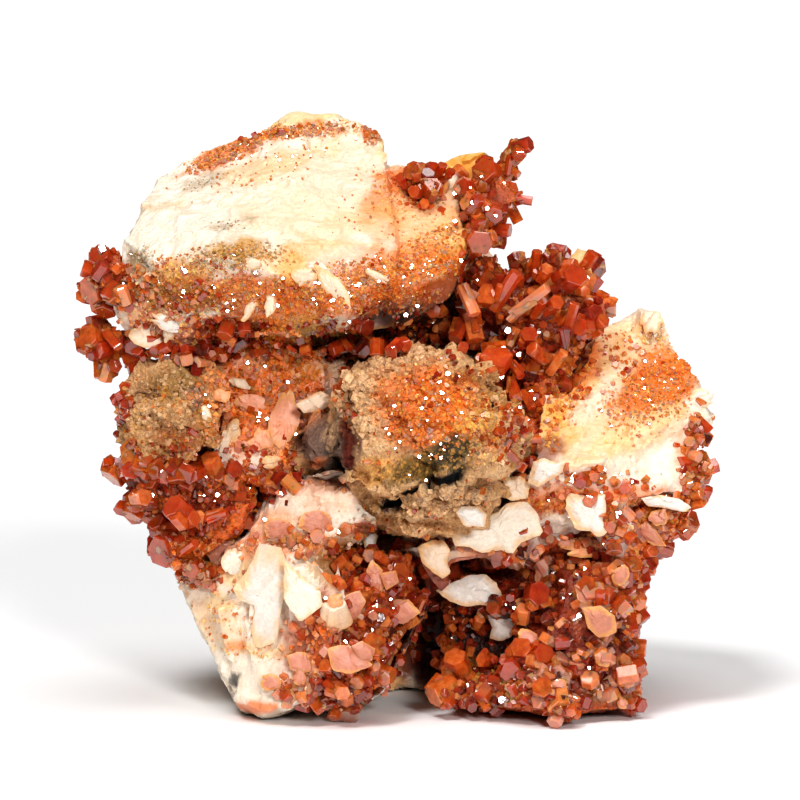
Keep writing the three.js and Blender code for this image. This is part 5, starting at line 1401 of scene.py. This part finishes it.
def glint(heaps, ground, seed, smallest, largest, stand, *ellipse):
    """Small crystals whose ends mirror one of the lights."""
    landed, random = throw(ground, seed, *ellipse)
    for number, (place, _, name, _) in enumerate(landed):
        light = toward(*GLINT_LIGHTS[number % len(GLINT_LIGHTS)])
        mirror = light + (EYE - place) / np.linalg.norm(EYE - place)
        mirror = mirror / np.linalg.norm(mirror) + GLINT_STRAY * random.standard_normal(3)
        radius = random.uniform(smallest, largest) * MM
        centre = place + mirror * radius * GLINT_RISE - FORWARD * stand * MM
        add_prism(heaps[name], centre, mirror, radius, radius * GLINT_LENGTH,
                  random.uniform(0, math.pi), GLINT_TONE, GLINT_DUST_AND_SHEEN, random, GLINT_CHAMFER, GLINT_UNEVEN)


# The crystals of the seams: how far they stray from the seam's line in the photograph's units, how far
# below its lip they lie, how much their ends look at the camera, and their length in radii.
SEAM_STRAY = 4.0
SEAM_DEPTH = 0.4 * MM
SEAM_FACING = 0.3
SEAM_LENGTHS = (1.6, 4.0)
SEAM_TONE_SPREAD = 0.15
SEAM_CHAMFER = 0.1
SEAM_UNEVEN = 0.3


def fill_seam(heaps, ground, seed, start, end, lip, count, smallest, largest, tone):
    """Crystals packed along a seam, level with whichever of its lips is nearer the camera."""
    random = np.random.default_rng(seed)
    for share in np.linspace(0, 1, count):
        on_line = np.array(start) + share * (np.array(end) - start)
        column, row = on_line + random.normal(0, SEAM_STRAY, 2)
        lips = [ground.hit(EYE, ray(column, row + side)) for side in (-lip, lip)]
        lips = [found for found in lips if found]
        if not lips:
            continue
        place, _, name, _ = min(lips, key=lambda found: found[0] @ FORWARD)
        reach = (place - EYE) @ FORWARD + SEAM_DEPTH
        centre = EYE + reach * ray(column, row)
        radius = random.uniform(smallest, largest) * MM
        axis = random.standard_normal(3) - SEAM_FACING * FORWARD
        length = radius * random.uniform(*SEAM_LENGTHS)
        add_prism(heaps[name], centre, axis, radius, length, random.uniform(0, math.pi),
                  tone + random.normal(0, SEAM_TONE_SPREAD), HERO_DUST_AND_SHEEN, random, SEAM_CHAMFER, SEAM_UNEVEN)


# The long needles of the saddle, whose sides have turned pale and rough.
PALE_NEEDLES = [
    (469, 300, -7, (0.35, -0.45, -0.8), 1.0, 4.6, 0.2),
    (530, 301, -7, (0.74, -0.3, 0.60), 0.85, 6.2, 0.7),
    (520, 312, -7, (0.7, -0.3, 0.6), 0.55, 4.0, 0.2),
]
# The larger crystals: their tone and the needles' own, their dust and painted sheen, how much thinner
# and shorter than listed they are, how much their tones differ, their chamfer and how uneven their
# sides are.
HERO_TONE = 0.48
NEEDLE_TONE = 1.0
HERO_DUST_AND_SHEEN = 0.5
HERO_THINNER = 0.84
HERO_SHORTER = 0.92
HERO_TONE_SPREAD = 0.12
HERO_CHAMFER = 0.07
HERO_UNEVEN = 0.3
# The crystals grown against each of them: how many, how far back along it and how far out from its
# middle they lie, how much they lean, and how thick and long they are against it.
COMPANIONS = 2
COMPANION_BACK = (-0.15, 0.35)
COMPANION_OUT = 0.95
COMPANION_LEAN = 0.3
COMPANION_RADIUS = (0.3, 0.62)
COMPANION_LENGTH = (0.45, 0.8)
COMPANION_SHORTEST = 1.2
COMPANION_TONE_SPREAD = 0.16
COMPANION_CHAMFER = 0.1
COMPANION_UNEVEN = 0.2


def add_heroes(heap, crystals, seed, tone=HERO_TONE):
    """The larger crystals, where the photograph shows them, each with smaller ones grown against it."""
    random = np.random.default_rng(seed)
    count = len(crystals)
    columns, rows, depths, axes, radii, lengths, spins = (np.array(each, float) for each in zip(*crystals))
    centres = np.array([spot(*place) for place in zip(columns, rows, depths)])
    radii = radii * MM * HERO_THINNER
    lengths = lengths * MM * HERO_SHORTER
    tones = np.clip(tone + HERO_TONE_SPREAD * random.standard_normal(count), 0, 1)
    add_prisms(heap, centres, axes, radii, lengths, spins, tones, HERO_DUST_AND_SHEEN, random,
               HERO_CHAMFER, HERO_UNEVEN)
    for _ in range(COMPANIONS):
        along, sideways, _ = cross_frames(axes, random.random(count) * 2 * math.pi)
        back = lengths * random.uniform(*COMPANION_BACK, count)
        places = centres + sideways * (radii * COMPANION_OUT)[:, None] - along * back[:, None]
        leaning = along + COMPANION_LEAN * random.standard_normal((count, 3))
        smaller = radii * random.uniform(*COMPANION_RADIUS, count)
        shorter = lengths * random.uniform(*COMPANION_LENGTH, count)
        shorter = np.maximum(shorter, smaller * COMPANION_SHORTEST)
        tones = np.clip(tone + COMPANION_TONE_SPREAD * random.standard_normal(count), 0, 1)
        add_prisms(heap, places, leaning, smaller, shorter, spins, tones, HERO_DUST_AND_SHEEN, random,
                   COMPANION_CHAMFER, COMPANION_UNEVEN)


# Materials.

# The range that noise mostly keeps to, and the range that its high spots keep to.
NOISE_RANGE = (0.3, 0.7)
HIGH_RANGE = (0.35, 0.7)


def new_material(name):
    material = bpy.data.materials.new(name)
    material.use_nodes = True
    nodes = material.node_tree.nodes
    return material, nodes, material.node_tree.links, nodes["Principled BSDF"]


def set_inputs(node, values):
    for title, value in values.items():
        node.inputs[title].default_value = value


def coordinates(nodes):
    return nodes.new("ShaderNodeTexCoord").outputs["Object"]


def noise_node(nodes, links, where, size, detail=4.0, roughness=0.6):
    """Noise whose features are of that size in millimetres."""
    node = nodes.new("ShaderNodeTexNoise")
    set_inputs(node, {"Scale": 1 / (size * MM), "Detail": detail, "Roughness": roughness})
    links.new(where, node.inputs["Vector"])
    return node.outputs["Fac"]


def ramp(nodes, links, value, stops):
    node = nodes.new("ShaderNodeValToRGB")
    elements = node.color_ramp.elements
    while len(elements) < len(stops):
        elements.new(0.5)
    for element, (position, color) in zip(elements, stops):
        element.position = position
        element.color = (*color, 1)
    links.new(value, node.inputs["Fac"])
    return node.outputs["Color"]


def number_ramp(nodes, links, value, low, high, start, end):
    node = nodes.new("ShaderNodeMapRange")
    node.clamp = True
    set_inputs(node, {"From Min": low, "From Max": high, "To Min": start, "To Max": end})
    links.new(value, node.inputs["Value"])
    return node.outputs["Result"]


def feed(links, socket, value):
    """Link a socket to another, or set it to a number or a colour."""
    if isinstance(value, bpy.types.NodeSocket):
        links.new(value, socket)
    elif isinstance(value, tuple):
        socket.default_value = (*value, 1)
    else:
        socket.default_value = value


def mix(nodes, links, share, first, second):
    node = nodes.new("ShaderNodeMix")
    node.data_type = "RGBA"
    for socket, value in zip([s for s in node.inputs if s.enabled], (share, first, second)):
        feed(links, socket, value)
    return next(s for s in node.outputs if s.enabled)


def math_node(nodes, links, operation, first, second):
    node = nodes.new("ShaderNodeMath")
    node.operation = operation
    node.use_clamp = True
    feed(links, node.inputs[0], first)
    feed(links, node.inputs[1], second)
    return node.outputs[0]


def attribute(nodes, name, output="Fac"):
    node = nodes.new("ShaderNodeAttribute")
    node.attribute_name = name
    return node.outputs[output]


def bump(nodes, links, height, strength, distance, shader):
    node = nodes.new("ShaderNodeBump")
    set_inputs(node, {"Strength": strength, "Distance": distance * MM})
    links.new(height, node.inputs["Height"])
    links.new(node.outputs["Normal"], shader.inputs["Normal"])


def roughen(nodes, links, grain, span, smoothest, roughest, shader):
    links.new(number_ramp(nodes, links, grain, *span, smoothest, roughest), shader.inputs["Roughness"])


def glow(shader, bending, share, spread, depth):
    """How the stone bends light, and how the light spreads below its surface: depth in millimetres."""
    set_inputs(shader, {"IOR": bending, "Subsurface Weight": share, "Subsurface Radius": spread,
                        "Subsurface Scale": depth * MM})


def speckle(nodes, links, color, grain, darkest, brightest):
    """The colour with its brightness wandering from grain to grain."""
    node = nodes.new("ShaderNodeHueSaturation")
    links.new(color, node.inputs["Color"])
    links.new(number_ramp(nodes, links, grain, *NOISE_RANGE, darkest, brightest), node.inputs["Value"])
    return node.outputs["Color"]


# A crystal's colour from its dark tones to its pale ones, and the colour of its dust and painted sheen.
CRYSTAL_TONES = [
    (0.0, (0.10, 0.004, 0.001)), (0.2, (0.50, 0.025, 0.002)), (0.4, (0.88, 0.085, 0.005)),
    (0.6, (0.97, 0.17, 0.012)), (0.8, (0.95, 0.27, 0.07)), (1.0, (0.66, 0.25, 0.16)),
]
DUST_AND_SHEEN = (0.66, 0.29, 0.20)
# How far the tone wanders within a crystal, the least and most dust and painted sheen, and how clear
# the stone is from its middle tones to its pale ones.
ZONING = (-0.12, 0.12)
DUST_AND_SHEEN_SHARES = (0.1, 0.6)
CLEAR_TONES = (0.5, 0.8)
CLEAR_SHARES = (0.5, 0.08)


def crystal_material():
    """Vanadinite: deep orange-red, translucent and bright, with pale dust and painted sheen on ends and
    edges.
    """
    material, nodes, links, shader = new_material("vanadinite_crystal")
    where = coordinates(nodes)
    zoned = noise_node(nodes, links, where, size=0.9)
    zoning = number_ramp(nodes, links, zoned, *NOISE_RANGE, *ZONING)
    tone = math_node(nodes, links, "ADD", attribute(nodes, "tone"), zoning)
    color = ramp(nodes, links, tone, CRYSTAL_TONES)
    fine = noise_node(nodes, links, where, size=0.3)
    # The pale colour mixed in on ends and edges is partly dust and partly painted sheen.
    dust_and_sheen_patches = number_ramp(nodes, links, fine, *HIGH_RANGE, *DUST_AND_SHEEN_SHARES)
    dust_and_sheen = math_node(nodes, links, "MULTIPLY", attribute(nodes, "bloom"), dust_and_sheen_patches)
    links.new(mix(nodes, links, dust_and_sheen, color, DUST_AND_SHEEN), shader.inputs["Base Color"])
    roughen(nodes, links, fine, HIGH_RANGE, smoothest=0.03, roughest=0.12, shader=shader)
    clear = number_ramp(nodes, links, tone, *CLEAR_TONES, *CLEAR_SHARES)
    links.new(clear, shader.inputs["Transmission Weight"])
    glow(shader, bending=2.0, share=0.6, spread=(1.0, 0.22, 0.04), depth=2.0)
    return material


def grainy_material(name, size, detail, roughness, brightness, dullness, strength, distance):
    """The painted colour, with its brightness, its shine and its height wandering from grain to grain."""
    material, nodes, links, shader = new_material(name)
    grain = noise_node(nodes, links, coordinates(nodes), size, detail, roughness)
    color = speckle(nodes, links, attribute(nodes, "paint", "Color"), grain, *brightness)
    links.new(color, shader.inputs["Base Color"])
    roughen(nodes, links, grain, NOISE_RANGE, *dullness, shader)
    bump(nodes, links, grain, strength, distance, shader)
    return material, shader


def crust_material():
    """The fine crystalline crust between the larger crystals."""
    material, shader = grainy_material("vanadinite_crust", size=0.45, detail=5.0, roughness=0.7,
                                       brightness=(0.6, 1.7), dullness=(0.1, 0.5),
                                       strength=0.7, distance=0.3)
    glow(shader, bending=1.6, share=0.4, spread=(1.0, 0.3, 0.08), depth=1.0)
    return material


def spar_material():
    """Barite: milky, softly translucent and streaked along its blades."""
    material, nodes, links, shader = new_material("barite_spar")
    along = attribute(nodes, "fan", "Vector")
    streak = noise_node(nodes, links, along, size=0.5, detail=5.0, roughness=0.65)
    grain = noise_node(nodes, links, coordinates(nodes), size=0.4, detail=5.0, roughness=0.7)
    color = speckle(nodes, links, attribute(nodes, "paint", "Color"), grain, darkest=0.86, brightest=1.1)
    color = speckle(nodes, links, color, streak, darkest=0.9, brightest=1.06)
    links.new(color, shader.inputs["Base Color"])
    roughen(nodes, links, grain, NOISE_RANGE, smoothest=0.25, roughest=0.55, shader=shader)
    glow(shader, bending=1.64, share=0.35, spread=(1.0, 0.7, 0.45), depth=1.4)
    low_grain = number_ramp(nodes, links, grain, *NOISE_RANGE, 0.0, 0.2)
    height = math_node(nodes, links, "ADD", streak, low_grain)
    bump(nodes, links, height, strength=0.4, distance=0.2, shader=shader)
    return material


def rock_material():
    """Ironstone: dull and granular."""
    material, _ = grainy_material("ironstone_rock", size=0.35, detail=6.0, roughness=0.75,
                                  brightness=(0.5, 1.7), dullness=(0.45, 0.9),
                                  strength=1.0, distance=0.4)
    return material


def add_piece(name, mesh, slot, *replaced):
    piece = add_object(name, mesh)
    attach(piece, "root")
    if replaced:
        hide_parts(*replaced)


def painted_mesh(name, points, faces, color, material):
    mesh = bpy.data.meshes.new(name)
    mesh.from_pydata(points.tolist(), [], faces)
    mesh.materials.append(material)
    mesh.update()
    opaque = np.concatenate([color, np.ones((len(color), 1))], axis=1)
    mesh.attributes.new("paint", "FLOAT_COLOR", "POINT").data.foreach_set("color", opaque.ravel())
    mesh.attributes.new("fan", "FLOAT_VECTOR", "POINT").data.foreach_set("vector", fanned(points).ravel())
    return mesh


def soft_sun(name, azimuth, elevation, power, spread):
    """Even light from one side."""
    data = bpy.data.lights.new(name, "SUN")
    data.energy = power
    data.angle = math.radians(spread)
    light = add_object(name, data)
    light.rotation_euler = Vector(toward(azimuth, elevation)).to_track_quat("Z", "Y").to_euler()


FLOOR_REACH = 6.0
FLOOR_WHITE = (0.96, 0.96, 0.96, 1)
FLOOR_ROUGHNESS = 0.7
# The room is dark in front at eye level and bright above and behind.
ROOM_LEAN = (-0.9, 0.5)
ROOM_LIGHT = (0.1, 0.8)


def studio():
    """White surroundings, a pale floor and soft lights."""
    world = bpy.data.worlds.new("white_surroundings")
    world.use_nodes = True
    nodes = world.node_tree.nodes
    links = world.node_tree.links
    direction = nodes.new("ShaderNodeSeparateXYZ")
    links.new(nodes.new("ShaderNodeTexCoord").outputs["Generated"], direction.inputs[0])
    lean = nodes.new("ShaderNodeMath")
    links.new(direction.outputs["Y"], lean.inputs[0])
    links.new(direction.outputs["Z"], lean.inputs[1])
    strength = number_ramp(nodes, links, lean.outputs[0], *ROOM_LEAN, *ROOM_LIGHT)
    links.new(strength, nodes["Background"].inputs["Strength"])
    bpy.context.scene.world = world
    bpy.context.scene.view_settings.view_transform = "Standard"
    bpy.context.scene.view_settings.look = "Medium High Contrast"
    for name, light in LIGHTS.items():
        soft_sun(name, *light)
    material, _, _, shader = new_material("floor_white")
    set_inputs(shader, {"Base Color": FLOOR_WHITE, "Roughness": FLOOR_ROUGHNESS,
                        "Specular IOR Level": 0.0})
    mesh = bpy.data.meshes.new("floor")
    corners = [(-1, -1), (1, -1), (1, 1), (-1, 1)]
    mesh.from_pydata([(x * FLOOR_REACH, y * FLOOR_REACH, 0) for x, y in corners], [], [(0, 1, 2, 3)])
    mesh.materials.append(material)
    floor = add_object("floor", mesh)


SENSOR_WIDTH = 36.0
NEAREST_SEEN = 0.05


def camera():
    data = bpy.data.cameras.new("camera")
    data.sensor_width = SENSOR_WIDTH
    data.lens = FOCAL_UNITS / FRAME_SIZE * SENSOR_WIDTH
    data.clip_start = NEAREST_SEEN
    view = add_object("camera", data)
    view.location = EYE
    view.rotation_euler = Vector(FORWARD).to_track_quat("-Z", "Y").to_euler()
    bpy.context.scene.camera = view


# One kind of surface: its voxel, its relief, its colours and its finish.
Kind = namedtuple("Kind", "voxel relief base paint material slot ending")


def make_kinds():
    """The kinds of surface, by the first word of the nodes' names. A voxel's size is in millimetres."""
    return {
        SPAR: Kind(0.6, barite_relief, spar_base, SPAR_PAINT, spar_material(), SPAR, "_spar"),
        STONE: Kind(0.4, rock_relief, rock_base, ROCK_PAINT, rock_material(), STONE, "_rock"),
        RED: Kind(0.45, crust_relief, crust_base, CRUST_PAINT, crust_material(), RED, "_crust"),
    }


def kind_of(node, kinds):
    return next(kind for start, kind in kinds.items() if node.startswith(start))


def add_surfaces(kinds):
    """Every node's fine surface, and its paint."""
    surfaces = {}
    for name in sorted(NODES):
        kind = kind_of(name, kinds)
        surfaces[name] = surface(name, kind.voxel, kind.relief)
    paints = {}
    for name, (points, normals, quads) in surfaces.items():
        kind = kind_of(name, kinds)
        paints[name] = painted(points, normals, kind.base(points), kind.paint)
        mesh = painted_mesh(name + kind.ending, points, quads.tolist(), paints[name], kind.material)
        add_piece(name + kind.ending, mesh, kind.slot, name)
    return surfaces, paints


# The seeds of what is thrown: the first of each table's rows, and those of the hidden side.
GRAIN_SEED = 500
CRYSTAL_SEED = 100
HERO_SEED = 320
NEEDLE_SEED = 399
GLINT_SEED = 450
SEAM_SEED = 400
ROUND_SEED = 95
ROUND_DRUSE_SEED = 97


def add_grains(ground, kinds):
    """The plates, the grains of stone and the sugary druse."""
    plates = painted_mesh("barite_plates", *gather(flakes(ground)), kinds[SPAR].material)
    add_piece("barite_plates", plates, SPAR)
    for title, rows, kind in (("ironstone_grains", GRAINS, kinds[STONE]),
                              ("vanadinite_druse", DRUSE, kinds[RED])):
        parts = []
        for number, (*thrown, smallest, largest, tints) in enumerate(rows):
            landed, random = throw(ground, GRAIN_SEED + number, *thrown)
            parts.append(crumbs(landed, random, smallest, largest, tints))
        if rows is DRUSE:
            parts.append(crumbs(*fling(ground, ROUND_DRUSE_SEED, ROUND_DRUSE), *ROUND_GRAINS))
        add_piece(title, painted_mesh(title, *gather(parts), kind.material), kind.slot)


def add_crystals(ground):
    """All the crystals, gathered by the surface that they grow on."""
    heaps = {name: Heap() for name in ground.names}
    for number, (*thrown, small, large, short, long, jumble, tone, dust_and_sheen) in enumerate(THROWS):
        landed, random = throw(ground, CRYSTAL_SEED + number, *thrown)
        grow(heaps, landed, random, (small, large), (short, long), jumble, tone, dust_and_sheen)
    landed, random = fling(ground, ROUND_SEED, ROUND_COUNT)
    grow(heaps, landed, random, ROUND_RADIUS, ROUND_LENGTH, ROUND_JUMBLE, ROUND_TONE, ROUND_DUST_AND_SHEEN)
    for number, name in enumerate(sorted(HEROES)):
        add_heroes(heaps[name], HEROES[name], HERO_SEED + number)
    add_heroes(heaps["vanadinite_saddle_cluster"], PALE_NEEDLES, NEEDLE_SEED, NEEDLE_TONE)
    for number, (*ellipse, smallest, largest, stand) in enumerate(GLINTS):
        glint(heaps, ground, GLINT_SEED + number, smallest, largest, stand, *ellipse)
    for number, seam in enumerate(SEAMS):
        fill_seam(heaps, ground, SEAM_SEED + number, *seam)
    crystal = crystal_material()
    for name, heap in heaps.items():
        if heap.count:
            add_piece(name + "_crystals", heap.mesh(name + "_crystals", crystal), RED)


def build():
    camera()
    studio()
    kinds = make_kinds()
    surfaces, paints = add_surfaces(kinds)
    ground = Ground(surfaces, paints)
    add_grains(ground, kinds)
    add_crystals(ground)


build()
